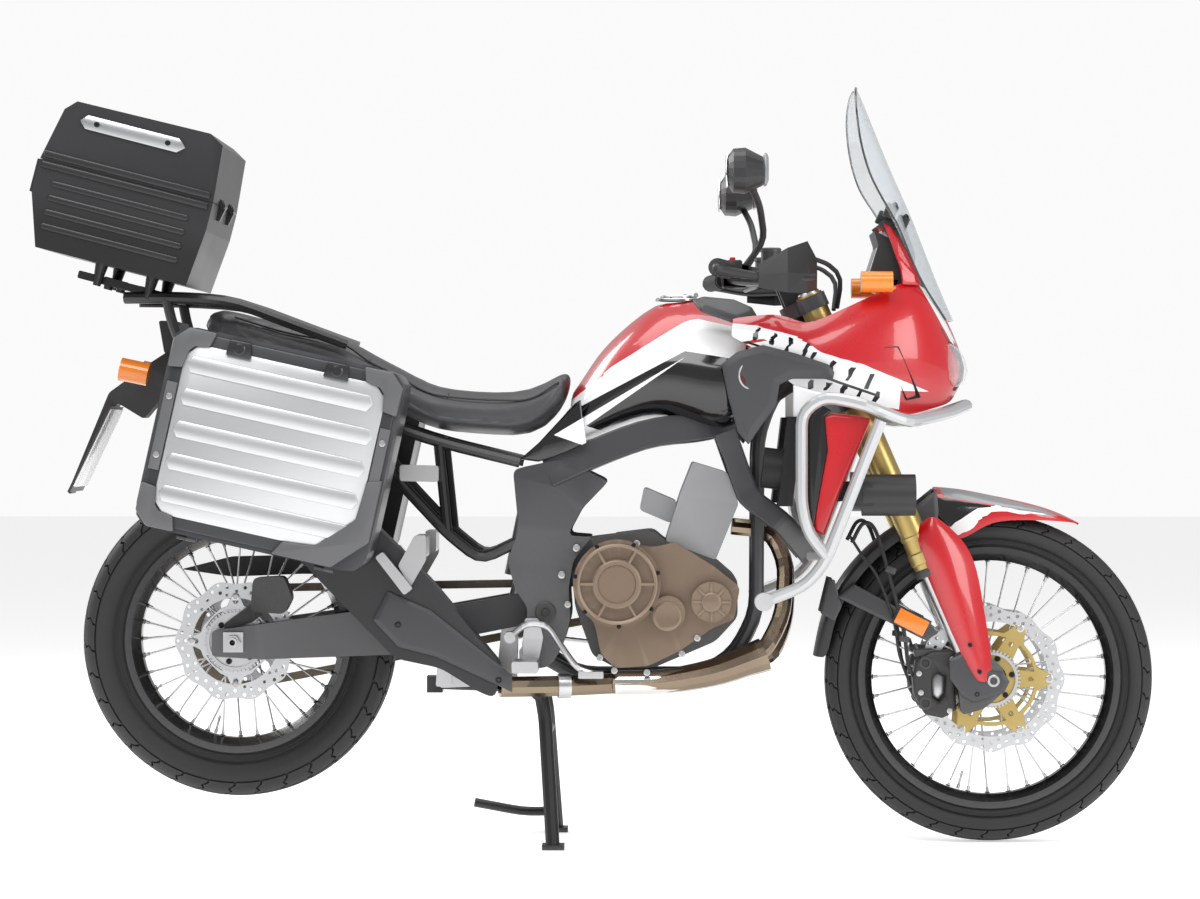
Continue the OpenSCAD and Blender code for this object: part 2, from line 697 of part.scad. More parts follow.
module footrests() {
    bike() color("#8f9193") pair() {
        slab(rounded([[588, 372], [642, 372], [642, 396], [588, 396]], 5), 166, 276);
        slab(rounded([[608, 372], [636, 372], [650, 440], [640, 480], [612, 480], [608, 440]], 5),
            plate_out, plate_out + 22);
        slab(rounded([[306, 610], [322, 622], [384, 546], [366, 532]], 5), 240, 262);
        slab(rounded([[352, 592], [386, 655], [410, 655], [410, 604], [378, 548]], 5), 234, 240);
        slab(rounded([[386, 655], [410, 655], [410, 610], [392, 604]], 5), 124, 236);
    }
}

module foot_controls() {
    bike() color("#c4c6c8") {
        tube([[581, -182, 441], [612, -184, 470], [660, -184, 468], [690, -186, 420],
            [722, -190, 376], [760, -196, 366]], 7, 20);
        disc([581, 441], -190, -plate_out, 12);
        slab(rounded([[724, 358], [776, 358], [776, 372], [724, 372]], 3), -226, -186);
        tube([[590, 176, 430], [700, 190, 418], [770, 192, 410]], 6, 20);
        disc([590, 430], plate_out, 184, 10);
        slab(rounded([[752, 402], [786, 402], [786, 418], [752, 418]], 5), 192, 232);
        slab(rounded([[351, 766], [432, 764], [432, 798], [351, 800]], 6), -172, -142);
    }
}

module rear_caliper() {
    bike() color("#38393b") difference() {
        union() {
            slab(rounded([[34, 492], [104, 486], [122, 520], [104, 566], [40, 562]], 10), -124, -66);
            slab(rounded([[-20, 448], [40, 470], [70, 500], [40, 512], [-24, 464]], 6), -106, -101);
        }
        slab([[-300, 300], [300, 300], [300, rear_axle_at[1] + rear_disc_r + pad_gap],
            [-300, rear_axle_at[1] + rear_disc_r + pad_gap]], rear_disc_y - disc_t / 2 - pad_gap,
            rear_disc_y + disc_t / 2 + pad_gap);
    }
}

// ---- Cases ----

pannier_outline = rounded([[-pannier_corner, 0], [pannier_l - pannier_corner, 0],
    [pannier_l - pannier_corner, pannier_h], [-pannier_corner, pannier_h]], pannier_corner, 3);
pannier_split = pannier_out - pannier_lid_d;
pannier_hinge_z = -8;

// Open tray with the pannier's outline, from y0 (closed) to y1 (open)
module tray(outline, y0, y1, wall) {
    difference() {
        slab(outline, min(y0, y1), max(y0, y1));
        slab(inset(outline, wall), min(y0 + (y1 > y0 ? wall : -wall), y1 + (y1 > y0 ? 1 : -1)),
            max(y0 + (y1 > y0 ? wall : -wall), y1 + (y1 > y0 ? 1 : -1)));
    }
}

// Knuckle of one pannier hinge from x on, tied to the wall at y_tie
module knuckle(x, l, y_tie) {
    translate([x, pannier_split, pannier_hinge_z]) rotate([0, 90, 0]) cylinder(h = l, r = 6);
    near = pannier_split + sign(y_tie - pannier_split) * lid_gap;
    translate([x, min(near, y_tie), pannier_hinge_z + 2]) cube([l, abs(y_tie - near), 9]);
}

hinge_at = [40, pannier_l - 150];

module pannier_shell() {
    on_pannier() {
        tray(pannier_outline, pannier_in, pannier_split - lid_gap, case_wall);
        for (x = hinge_at) {
            knuckle(x, 20, pannier_split - 14);
            translate([x, pannier_split, pannier_hinge_z]) rotate([0, 90, 0])
                cylinder(h = 40, r = hinge_pin_r);
        }
    }
}

module pannier_lid() {
    on_pannier() difference() {
        union() {
            tray(pannier_outline, pannier_out, pannier_split, case_wall);
            for (x = hinge_at) knuckle(x + 20.5, 19, pannier_split + 14);
        }
        translate([-100, pannier_split, pannier_hinge_z]) rotate([0, 90, 0])
            cylinder(h = pannier_l + 200, r = hinge_pin_r + running_gap);
    }
}

module pannier_shells() {
    bike() color("#26272a") pair() pannier_shell();
}

module pannier_lid_left() {
    bike() color("#b3b6b9") pannier_lid();
}

module pannier_lid_right() {
    bike() color("#b3b6b9") mirror([0, 1, 0]) pannier_lid();
}

top_base_outline = [[0, 0], [323, 0], [335, 120], [335, top_box_split], [-36, top_box_split],
    [-36, bumper_z]];
top_lid_outline = [[-36, top_box_split + lid_gap], [335, top_box_split + lid_gap], [325, 300],
    [294, 318], [10, 314], [-12, 292]];
lid_hinge = [341, top_box_split + 2];

module top_box_base() {
    half = top_box_w / 2;
    bike() color("#2a2b2e") on_top_box() {
        difference() {
            slab(top_base_outline, -half, half);
            slab([[case_wall, case_wall], [323 - case_wall, case_wall], [335 - case_wall, 120],
                [335 - case_wall, 200], [-36 + case_wall, 200], [-36 + case_wall, bumper_z]],
                -half + case_wall, half - case_wall);
        }
        slab([[bumper_x, bumper_z], [-36, bumper_z], [-36, top_box_split],
            [bumper_x, top_box_split]], -half + 30, half - 30);
        for (y = [-90, 70]) difference() {
            union() {
                disc(lid_hinge, y, y + 20, 6);
                slab([[335, top_box_split - 30], [341, top_box_split - 30], [347, top_box_split],
                    [335, top_box_split]], y, y + 20);
            }
            disc(lid_hinge, y - 1, y + 21, hinge_pin_r + running_gap);
        }
        pair() for (x = [130, 240]) translate([x, 130, -46]) cylinder(h = 46, r1 = 8, r2 = 14);
    }
}

module top_box_lid() {
    half = top_box_w / 2;
    bike() color("#2a2b2e") on_top_box() {
        difference() {
            slab(top_lid_outline, -half, half);
            slab([[-36 + case_wall, 160], [335 - case_wall, 160], [325 - case_wall, 298],
                [292, 318 - case_wall], [12, 314 - case_wall], [-12 + case_wall, 290]],
                -half + case_wall, half - case_wall);
        }
        for (y = [-90, 70]) {
            disc(lid_hinge, y - 12, y + 32, hinge_pin_r);
            for (s = [-12, 20.5]) difference() {
                union() {
                    disc(lid_hinge, y + s, y + s + 11.5, 6);
                    slab([[330, top_box_split + 4], [341, top_box_split + 4],
                        [341, top_box_split + 8], [330, top_box_split + 20]], y + s, y + s + 11.5);
                }
            }
        }
    }
}

// ---- Stands ----

module centre_stand() {
    foot_x = 670;
    bike() color("#1d1e20") difference() {
        union() {
            pair() {
                tube([[stand_pivot[0] + 4, stand_pivot_y, stand_pivot[1] - 8],
                    [652, stand_pivot_y + 4, 270], [foot_x, stand_foot_y, 6]], stand_tube_r, 20);
                disc(stand_pivot, stand_pivot_y - 14, stand_pivot_y + 14, 18);
                translate([foot_x - 22, stand_foot_y - 26, 0]) cube([46, 52, 10]);
            }
            rod([655, -116, 235], [655, 116, 235], 12);
            tube([[foot_x, stand_foot_y + 4, 44], [600, stand_foot_y + 22, 40],
                [490, stand_foot_y + 26, 60]], 10, 30, ref = [0, 1, 0]);
        }
        disc(stand_pivot, -200, 200, 8 + running_gap);
    }
}

module side_stand() {
    bike() color("#1d1e20") difference() {
        union() {
            disc(prop_pivot, 172, 188, 17);
            tube([[prop_pivot[0] - 4, 180, prop_pivot[1]], [560, 186, 314], [412, 206, 318]], 12, 20);
            translate([386, 188, 300]) cube([34, 44, 36]);
        }
        disc(prop_pivot, 100, 300, 8 + running_gap);
    }
}

// ---- Steering assembly ----

module fork() {
    half = fork_spread / 2;
    bike() color("#b08d3c") on_axis() {
        cylinder_s = top_clamp_s + top_clamp_t;
        translate([0, 0, low_clamp_s]) cylinder(h = top_clamp_s + 10 - low_clamp_s, r = stem_r);
        pair() {
            translate([fork_n, half, gold_s]) cylinder(h = cylinder_s - gold_s + 4, r = fork_upper_r);
            translate([fork_n, half, axle_s + 8]) cylinder(h = gold_s - axle_s, r = fork_lower_r);
            difference() {
                translate([0, half + 21, axle_s]) rotate([90, 0, 0]) linear_extrude(42)
                    polygon(rounded([[fork_n - 34, 46], [fork_n - 60, -40], [fork_n - 10, -46],
                        [axle_offset, -34], [axle_offset + 28, -18], [axle_offset + 28, 20],
                        [fork_n + 26, 84], [fork_n - 26, 84]], 12));
                translate([axle_offset, half + 30, axle_s]) rotate([90, 0, 0])
                    cylinder(h = 60, r = axle_r);
            }
        }
        translate([0, 0, low_clamp_s]) linear_extrude(clamp_t)
            polygon(rounded([[-34, -40], [0, -half - 34], [62, -half - 34], [62, half + 34],
                [0, half + 34], [-34, 40]], 20));
        translate([0, 0, top_clamp_s]) linear_extrude(top_clamp_t)
            polygon(rounded([[-34, -40], [0, -half - 34], [62, -half - 34], [62, half + 34],
                [0, half + 34], [-34, 40]], 20));
    }
}

module fork_guards() {
    bike() color("#c1121f") pair() slab(rounded([[1413, 655], [1464, 690], [1536, 640],
        [1552, 600], [1572, 473], [1586, 380], [1566, 348], [1536, 372], [1492, 474]], 8),
        fork_spread / 2 + fork_upper_r + 0.5, fork_spread / 2 + fork_upper_r + 6);
}

module front_mudguard() {
    r = front_tyre_r + 26;
    arc = [for (a = [66:8:170]) [front_axle_at[0] + r * cos(a), 0, front_axle_at[1] + r * sin(a)]];
    w = front_tyre_w / 2 + 22;
    bike() color("#c1121f") {
        sweep(arc, gutter(w, 22, 14));
        pair() slab([[1440, 640], [1500, 660], [1500, 700], [1440, 690]], w - 8, fork_spread / 2 - 28);
    }
}

module front_calipers() {
    bike() color("#2b2c2e") pair() difference() {
        union() {
            slab(rounded([[1436, 392], [1500, 406], [1498, 330], [1502, 274],
                [1450, 282], [1428, 330]], 10), 48, 104);
            slab(rounded([[1480, 400], [1516, 404], [1524, 340], [1520, 296], [1480, 290]], 6),
                90, 104);
        }
        at_front_axle() disc([0, 0], front_disc_y - disc_t / 2 - pad_gap,
            front_disc_y + disc_t / 2 + pad_gap, front_disc_r + pad_gap);
    }
}

module handlebar() {
    bike() color("#303133") {
        pair() {
            tube([[1150, 0, 1186], [1150, 60, 1186], [1130, 150, 1194], [1040, 250, 1204],
                [1006, grip_end_y - 20, 1200]], 12, 40, ref = [0, 0, 1]);
            tube([[1034, 272, 1201], [1006, grip_end_y, 1200]], grip_r, ref = [0, 0, 1]);
            slab([[1132, 1194], [1166, 1202], [1200, 1149.3], [1158, 1130.9]], 36, 64);
            tube([[1068, 246, 1196], [1110, 300, 1192], [1086, 400, 1186]], 7, 20, ref = [0, 0, 1]);
            slab(rounded([[1028, 1216], [1080, 1212], [1084, 1184], [1030, 1184]], 6), 236, 262);
        }
    }
}

module hand_guards() {
    bike() color("#2b2c2e") pair() {
        tube([[1006, grip_end_y + 6, 1200], [1006, grip_end_y + 26, 1196],
            [1090, grip_end_y + 10, 1180], [1200, 350, 1180], [1208, 286, 1190],
            [1150, 176, 1192]], 9, 24, ref = [0, 0, 1]);
        strip([[1090, 1206, 444, 1184, 448, 1158, 442], [1150, 1240, 404, 1190, 410, 1150, 404],
            [1192, 1256, 356, 1190, 366, 1150, 356], [1214, 1222, 298, 1190, 306, 1160, 298]], 5);
    }
}

module mirrors() {
    bike() color("#2b2c2e") pair() {
        tube([[1066, 248, 1206], [1108, 256, 1262], [1096, 330, 1330], [1078, 370, 1366]], 7, 30);
        translate([0, mirror_y, 0]) lofted([[1030, 1366, 1426, 60, 3, 2.4], [1040, 1352, 1440, 78, 3, 2.4],
            [1064, 1350, 1442, 80, 3, 2.4], [1100, 1366, 1424, 50, 3, 2.4]]);
    }
}

module bar_cables() {
    bike() color("#151516") {
        pair() tube([[1136, 146, 1190], [1210, 150, 1238], [1276, 110, 1200],
            [1266, 70, 1130]], 5, 40);
    }
}

main_frame();
subframe();
swingarm();
rear_axle();
rear_shock();
engine();
engine_covers();
cylinder_head();
radiators();
exhaust_pipes();
silencer();
drive_chain();
rear_hugger();
fuel_tank();
seat();
front_cowl();
side_shrouds();
radiator_shrouds();
windscreen();
instrument_panel();
headlights();
crash_bars();
fog_lamps();
rear_carrier();
tail_unit();
indicators();
footrests();
foot_controls();
rear_caliper();
pannier_shells();
top_box_base();
top_box_lid();
pannier_lid_right();
pannier_lid_left();
fuel_cap();
centre_stand();
side_stand();
fork();
fork_guards();
front_mudguard();
front_calipers();
handlebar();
hand_guards();
mirrors();
bar_cables();
front_axle();
front_tyre();
front_wheel();
front_discs();
rear_tyre();
rear_wheel();
rear_disc();
rear_sprocket();
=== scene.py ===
"""Looks for an adventure motorcycle that stands on its centre stand."""

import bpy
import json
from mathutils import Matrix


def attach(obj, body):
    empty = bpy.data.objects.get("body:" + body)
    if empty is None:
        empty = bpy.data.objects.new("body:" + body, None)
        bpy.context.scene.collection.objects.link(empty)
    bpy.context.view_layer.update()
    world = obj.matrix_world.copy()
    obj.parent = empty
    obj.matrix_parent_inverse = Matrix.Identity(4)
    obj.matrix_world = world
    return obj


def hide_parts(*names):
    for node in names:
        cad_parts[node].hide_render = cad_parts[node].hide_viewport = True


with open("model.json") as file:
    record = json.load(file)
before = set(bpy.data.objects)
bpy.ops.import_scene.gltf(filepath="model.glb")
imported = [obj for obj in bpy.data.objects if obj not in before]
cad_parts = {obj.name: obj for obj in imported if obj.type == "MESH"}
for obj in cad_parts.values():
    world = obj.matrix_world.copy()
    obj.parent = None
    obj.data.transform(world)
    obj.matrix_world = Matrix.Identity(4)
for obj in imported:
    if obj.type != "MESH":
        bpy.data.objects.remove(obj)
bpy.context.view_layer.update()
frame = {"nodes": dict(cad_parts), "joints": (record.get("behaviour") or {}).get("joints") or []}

import json
import math
import random

import bpy
from mathutils import Matrix, Vector

joints = {joint["name"]: joint for joint in frame["joints"]}
rear_x = joints["rear_wheel_spin"]["pos_m"][0]
front_hub = Vector(joints["front_wheel_spin"]["pos_m"])
rear_hub = Vector(joints["rear_wheel_spin"]["pos_m"])
FRONT_X = (front_hub.x - rear_x) * 1000
FRONT_Z = front_hub.z * 1000
RAKE = math.acos(joints["steering"]["axis"][2])
FULL_TURN = 2 * math.pi
FRONT_BEAD = 267
REAR_BEAD = 229
random.seed(7)


# ---- Places, in millimetres: x forward of the rear axle, y to the left, z up ----

def at(x, y, z):
    return Vector((rear_x + x / 1000, y / 1000, z / 1000))


def turned_frame(x0, z0, degrees):
    """Frame at (x0, z0) whose own x axis dips by so many degrees."""
    c, s = math.cos(math.radians(degrees)), math.sin(math.radians(degrees))
    return lambda u, y, v: at(x0 + u * c + v * s, y, z0 - u * s + v * c)


on_top_box = turned_frame(-402, 1252, 14.5)
on_pannier = turned_frame(-122, 675, 12.6)
STEER_FLOOR = 1677


def on_fork(n, y, s):
    """n mm ahead of the steering axis and s mm up along it from the floor."""
    c, t = math.cos(RAKE), math.sin(RAKE)
    return at(STEER_FLOOR - s * t + n * c, y, s * c + n * t)


# ---- Modelling ----

def nothing_selected():
    bpy.ops.object.select_all(action="DESELECT")


def only(obj):
    nothing_selected()
    obj.select_set(True)
    bpy.context.view_layer.objects.active = obj


def take(name):
    obj = bpy.context.object
    obj.name = obj.data.name = name
    return obj


def edit(obj, select="SELECT"):
    only(obj)
    bpy.ops.object.mode_set(mode="EDIT")
    bpy.ops.mesh.select_all(action=select)


def done():
    bpy.ops.object.mode_set(mode="OBJECT")


def settle(obj):
    only(obj)
    bpy.ops.object.transform_apply(location=True, rotation=True, scale=True)
    return obj


def modify(obj, kind, **values):
    only(obj)
    modifier = obj.modifiers.new(kind.lower(), kind)
    for key, value in values.items():
        setattr(modifier, key, value)
    bpy.ops.object.modifier_apply(modifier=modifier.name)
    return obj


def soften(obj, width=1.5, segments=2, angle=35):
    """Rounds the edges that turn by more than the angle."""
    return modify(obj, "BEVEL", width=width / 1000, segments=segments, limit_method="ANGLE",
        angle_limit=math.radians(angle), use_clamp_overlap=True, harden_normals=False)


def smooth(obj, angle=32):
    only(obj)
    bpy.ops.object.shade_smooth_by_angle(angle=math.radians(angle))
    return obj


def refine(obj, levels=1):
    return modify(obj, "SUBSURF", levels=levels, render_levels=levels)


def outward(obj):
    edit(obj)
    bpy.ops.mesh.remove_doubles(threshold=0.00002)
    bpy.ops.mesh.normals_make_consistent(inside=False)
    done()
    return obj


def joined(name, pieces):
    nothing_selected()
    for piece in pieces:
        piece.select_set(True)
    bpy.context.view_layer.objects.active = pieces[0]
    bpy.ops.object.join()
    return take(name)


def twin(obj, name=None):
    """Mirror image across the middle plane, with its own mesh."""
    only(obj)
    bpy.ops.object.duplicate(linked=False)
    other = take(name or obj.name + "_left")
    other.scale.y = -1
    settle(other)
    edit(other)
    bpy.ops.mesh.flip_normals()
    done()
    return other


def both_sides(obj, name=None):
    """The piece and its mirror image as one piece."""
    name = name or obj.name
    return joined(name, [obj, twin(obj)])


def ring_of(points, filled=True):
    """Closed outline through the points, as the start of a piece."""
    nothing_selected()
    bpy.ops.mesh.primitive_circle_add(vertices=len(points), radius=1,
        fill_type="NGON" if filled else "NOTHING")
    obj = bpy.context.object
    for vertex, point in zip(obj.data.vertices, points):
        vertex.co = point
    return obj


def plate(name, outline, y0, y1, place=at, edge=1.5, segments=2, angle=35):
    """Side outline given thickness across the bike, with softened edges."""
    obj = ring_of([place(u, y0, v) for u, v in outline])
    edit(obj)
    bpy.ops.mesh.extrude_region_move(
        TRANSFORM_OT_translate={"value": place(0, y1, 0) - place(0, y0, 0)})
    bpy.ops.mesh.select_all(action="SELECT")
    bpy.ops.mesh.normals_make_consistent(inside=False)
    done()
    if edge:
        soften(obj, edge, segments, angle)
    take(name)
    return smooth(obj)


def turned(name, profile, centre, along=(0, 1, 0), steps=48):
    """Profile of (radius, height) turned about an axis through the centre."""
    obj = ring_of([Vector((r / 1000, 0, h / 1000)) for r, h in profile], filled=False)
    edit(obj)
    bpy.ops.mesh.spin(steps=steps, angle=FULL_TURN, center=(0, 0, 0), axis=(0, 0, 1))
    bpy.ops.mesh.select_all(action="SELECT")
    bpy.ops.mesh.remove_doubles(threshold=0.00002)
    bpy.ops.mesh.delete_loose()
    bpy.ops.mesh.select_all(action="SELECT")
    bpy.ops.mesh.normals_make_consistent(inside=False)
    done()
    take(name)
    obj.rotation_euler = Vector(along).to_track_quat("Z", "Y").to_euler()
    obj.location = centre
    settle(obj)
    return smooth(obj)


def eased(points, reach, steps=5):
    """Path whose corners are rounded over a reach in metres."""
    path = [points[0]]
    for a, b, c in zip(points, points[1:], points[2:]):
        d = min(reach, 0.45 * (a - b).length, 0.45 * (c - b).length)
        s, e = b + (a - b).normalized() * d, b + (c - b).normalized() * d
        for k in range(steps + 1):
            t = k / steps
            path.append(s * (1 - t) ** 2 + b * 2 * t * (1 - t) + e * t * t)
    return path + [points[-1]]


def curve_of(name, points, radius, round_by=4):
    nothing_selected()
    data = bpy.data.curves.new(name, "CURVE")
    data.dimensions = "3D"
    data.bevel_depth = radius / 1000
    data.bevel_resolution = round_by
    data.use_fill_caps = True
    spline = data.splines.new("POLY")
    spline.points.add(len(points) - 1)
    for point, place in zip(spline.points, points):
        point.co = (*place, 1)
    obj = bpy.data.objects.new(name, data)
    bpy.context.scene.collection.objects.link(obj)
    return obj


def tube(name, points, radius, bend=25, round_by=4, steps=5, smooth_path=False):
    """Round bar, hose or pipe along points given in millimetres or metres."""
    path = [p if isinstance(p, Vector) else at(*p) for p in points]
    if smooth_path:
        path = flowing(path)
    elif len(path) > 2:
        path = eased(path, bend / 1000, steps)
    obj = curve_of(name, path, radius, round_by)
    only(obj)
    bpy.ops.object.convert(target="MESH")
    take(name)
    return smooth(bpy.context.object, 50)


def flowing(points, steps=6):
    """Smooth path through all of the points."""
    ends = [points[0] * 2 - points[1]] + points + [points[-1] * 2 - points[-2]]
    path = []
    for a, b, c, d in zip(ends, ends[1:], ends[2:], ends[3:]):
        for k in range(steps):
            t = k / steps
            path.append(0.5 * (b * 2 + (c - a) * t + (a * 2 - b * 5 + c * 4 - d) * t * t
                + (b * 3 - a - c * 3 + d) * t ** 3))
    return path + [points[-1]]


def sheet_of(name, rows, thick=3, levels=1, edge=0.8, offset=-1, angle=40):
    """Panel through rows of points: smoothed, then given thickness."""
    across, along = len(rows[0]), len(rows)
    nothing_selected()
    bpy.ops.mesh.primitive_grid_add(x_subdivisions=across - 1, y_subdivisions=along - 1, size=1)
    obj = take(name)
    for vertex, point in zip(obj.data.vertices, [p for row in rows for p in row]):
        vertex.co = point
    if levels:
        refine(obj, levels)
    if thick:
        modify(obj, "SOLIDIFY", thickness=thick / 1000, offset=offset, use_even_offset=True)
        outward(obj)
        if edge:
            soften(obj, edge, 1, 60)
    return smooth(obj, angle)


def loft_of(name, rings, levels=1, caps=True, angle=40):
    """Closed body through rings of points."""
    n = len(rings[0])
    obj = ring_of(rings[0], filled=caps)
    edit(obj)
    for before, ring in zip(rings, rings[1:]):
        bpy.ops.mesh.extrude_region_move(TRANSFORM_OT_translate={"value": (0, 0, 0)})
        done()
        fresh = [v for v in obj.data.vertices if v.select]
        for vertex in fresh:
            near = min(range(n), key=lambda k: (before[k] - vertex.co).length_squared)
            vertex.co = ring[near]
        bpy.ops.object.mode_set(mode="EDIT")
    bpy.ops.mesh.select_all(action="SELECT")
    bpy.ops.mesh.normals_make_consistent(inside=False)
    done()
    take(name)
    if levels:
        refine(obj, levels)
    return smooth(obj, angle)


def copied(obj, places):
    """Copies of a small part at each place, joined into one piece; a place is a matrix."""
    mesh = obj.data
    made = []
    for place in places:
        other = bpy.data.objects.new(obj.name, mesh.copy())
        bpy.context.scene.collection.objects.link(other)
        other.data.transform(place)
        made.append(other)
    name = obj.name
    bpy.data.objects.remove(obj)
    return joined(name, made) if len(made) > 1 else made[0]


def facing(point, direction, size=1.0, spin=0.0):
    """Matrix that carries a part made along +Z at the origin to a point, facing a direction."""
    turn = Vector(direction).to_track_quat("Z", "Y").to_matrix().to_4x4()
    return (Matrix.Translation(point) @ turn @ Matrix.Rotation(spin, 4, "Z")
        @ Matrix.Scale(size, 4))


def bolt_part(name, r=6, h=4, socket=True):
    """Round head with a bevelled rim and a hexagonal socket, standing on the origin."""
    nothing_selected()
    bpy.ops.mesh.primitive_cylinder_add(vertices=18, radius=r / 1000, depth=h / 1000,
        location=(0, 0, h / 2000))
    obj = settle(take(name))
    soften(obj, r * 0.14, 2, 50)
    if socket:
        bpy.ops.mesh.primitive_cylinder_add(vertices=6, radius=r * 0.5 / 1000, depth=h / 1000,
            location=(0, 0, h / 1000))
        hexagon = settle(bpy.context.object)
        cut(obj, hexagon)
    return smooth(obj)


def cut(obj, tool, operation="DIFFERENCE"):
    modify(obj, "BOOLEAN", object=tool, operation=operation, solver="EXACT")
    bpy.data.objects.remove(tool)
    return obj


def bolts(name, spots, direction, r=6, h=4, body="chassis", material=None, socket=True):
    part = bolt_part(name, r, h, socket)
    obj = copied(part, [facing(spot if isinstance(spot, Vector) else at(*spot), direction,
        spin=random.random() * 6) for spot in spots])
    return wear(obj, material or bright_bolt, body)


def wear(obj, material, body=None, replaces=()):
    """Gives a piece its finish and the body it rides on."""
    if material is not None:
        obj.data.materials.clear()
        obj.data.materials.append(material)
    if body:
        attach(obj, body)
    if replaces:
        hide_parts(*replaces)
    return obj


def divide(obj, lines):
    """Cuts the faces along side-view lines (x0, z0, x1, z1), right through the piece."""
    for x0, z0, x1, z1 in lines:
        edit(obj)
        a, b = at(x0, 0, z0), at(x1, 0, z1)
        d = b - a
        bpy.ops.mesh.bisect(plane_co=a, plane_no=(-d.z, 0, d.x))
        done()


def inside(x, z, outline):
    hit = False
    for (ax, az), (bx, bz) in zip(outline, outline[1:] + outline[:1]):
        if (az > z) != (bz > z) and x < (bx - ax) * (z - az) / (bz - az) + ax:
            hit = not hit
    return hit


def colour_areas(obj, areas):
    """Paints faces whose middles are inside side-view outlines; a later area covers an earlier."""
    for material, outline in areas:
        if outline is not None:
            divide(obj, [(*a, *b) for a, b in zip(outline, outline[1:] + outline[:1])])
    for material, _ in areas:
        obj.data.materials.append(material)
    first = len(obj.data.materials) - len(areas)
    for face in obj.data.polygons:
        x, z = (face.center.x - rear_x) * 1000, face.center.z * 1000
        for k, (_, outline) in enumerate(areas):
            if outline is None or inside(x, z, outline):
                face.material_index = first + k
    return obj


def sort_faces(node, choices):
    """Gives each face of a CAD node the material whose test it meets first."""
    mesh = frame["nodes"][node].data
    mesh.materials.clear()
    for material, _ in choices:
        mesh.materials.append(material)
    for face in mesh.polygons:
        x, y, z = (face.center.x - rear_x) * 1000, face.center.y * 1000, face.center.z * 1000
        face.material_index = next(k for k, (_, test) in enumerate(choices) if test(x, y, z))


def finish_node(node, material):
    mesh = frame["nodes"][node].data
    mesh.materials.clear()
    mesh.materials.append(material)


# ---- Finishes ----

def new_group(name, inputs, outputs):
    tree = bpy.data.node_groups.new(name, "ShaderNodeTree")
    for title, kind, value in inputs:
        socket = tree.interface.new_socket(title, in_out="INPUT", socket_type=kind)
        socket.default_value = value
    for title, kind in outputs:
        tree.interface.new_socket(title, in_out="OUTPUT", socket_type=kind)
    return tree, tree.nodes.new("NodeGroupInput"), tree.nodes.new("NodeGroupOutput")


def add(tree, kind, links=(), **values):
    """Adds a node; links are (input, output socket), values are the node's own settings."""
    node = tree.nodes.new(kind)
    for key, value in values.items():
        if hasattr(node, key):
            setattr(node, key, value)
        else:
            node.inputs[key.replace("_", " ").title()].default_value = value
    for name, source in links:
        tree.links.new(source, node.inputs[name])
    return node


def make_worn_surface():
    """Blotches, fine grain and rubbed edges, for every hard finish."""
    tree, gin, gout = new_group("worn_surface", [
        ("Colour", "NodeSocketColor", (0.5, 0.5, 0.5, 1)),
        ("Blotch Colour", "NodeSocketColor", (0.4, 0.4, 0.4, 1)),
        ("Blotch Scale", "NodeSocketFloat", 6),
        ("Blotch Amount", "NodeSocketFloat", 0.4),
        ("Grain Scale", "NodeSocketFloat", 900),
        ("Stretch", "NodeSocketVector", (1, 1, 1)),
        ("Roughness", "NodeSocketFloat", 0.4),
        ("Roughness Spread", "NodeSocketFloat", 0.1),
        ("Edge Colour", "NodeSocketColor", (0.6, 0.6, 0.6, 1)),
        ("Edge Amount", "NodeSocketFloat", 0.3)],
        [("Colour", "NodeSocketColor"), ("Roughness", "NodeSocketFloat"), ("Height", "NodeSocketFloat")])
    place = add(tree, "ShaderNodeTexCoord")
    stretch = add(tree, "ShaderNodeVectorMath", [(0, place.outputs["Object"]),
        (1, gin.outputs["Stretch"])], operation="MULTIPLY")
    blotch = add(tree, "ShaderNodeTexNoise", [("Vector", place.outputs["Object"]),
        ("Scale", gin.outputs["Blotch Scale"])], detail=5.0)
    grain = add(tree, "ShaderNodeTexNoise", [("Vector", stretch.outputs[0]),
        ("Scale", gin.outputs["Grain Scale"])], detail=3.0)
    amount = add(tree, "ShaderNodeMath", [(0, blotch.outputs["Fac"]),
        (1, gin.outputs["Blotch Amount"])], operation="MULTIPLY")
    base = add(tree, "ShaderNodeMix", data_type="RGBA")
    tree.links.new(amount.outputs[0], base.inputs[0])
    tree.links.new(gin.outputs["Colour"], base.inputs[6])
    tree.links.new(gin.outputs["Blotch Colour"], base.inputs[7])
    shape = add(tree, "ShaderNodeNewGeometry")
    sharp = add(tree, "ShaderNodeMapRange", [("Value", shape.outputs["Pointiness"])],
        from_min=0.53, from_max=0.64)
    scuff = add(tree, "ShaderNodeMath", [(0, sharp.outputs[0]), (1, gin.outputs["Edge Amount"])],
        operation="MULTIPLY")
    rub = add(tree, "ShaderNodeMath", [(0, scuff.outputs[0]), (1, grain.outputs["Fac"])],
        operation="MULTIPLY")
    edge = add(tree, "ShaderNodeMix", data_type="RGBA")
    tree.links.new(rub.outputs[0], edge.inputs[0])
    tree.links.new(base.outputs[2], edge.inputs[6])
    tree.links.new(gin.outputs["Edge Colour"], edge.inputs[7])
    lift = add(tree, "ShaderNodeMath", [(0, blotch.outputs["Fac"])], operation="SUBTRACT")
    lift.inputs[1].default_value = 0.5
    spread = add(tree, "ShaderNodeMath", [(0, lift.outputs[0]),
        (1, gin.outputs["Roughness Spread"])], operation="MULTIPLY")
    rough = add(tree, "ShaderNodeMath", [(0, gin.outputs["Roughness"]), (1, spread.outputs[0])],
        operation="ADD")
    tree.links.new(edge.outputs[2], gout.inputs["Colour"])
    tree.links.new(rough.outputs[0], gout.inputs["Roughness"])
    tree.links.new(grain.outputs["Fac"], gout.inputs["Height"])
    return tree


worn_surface = make_worn_surface()


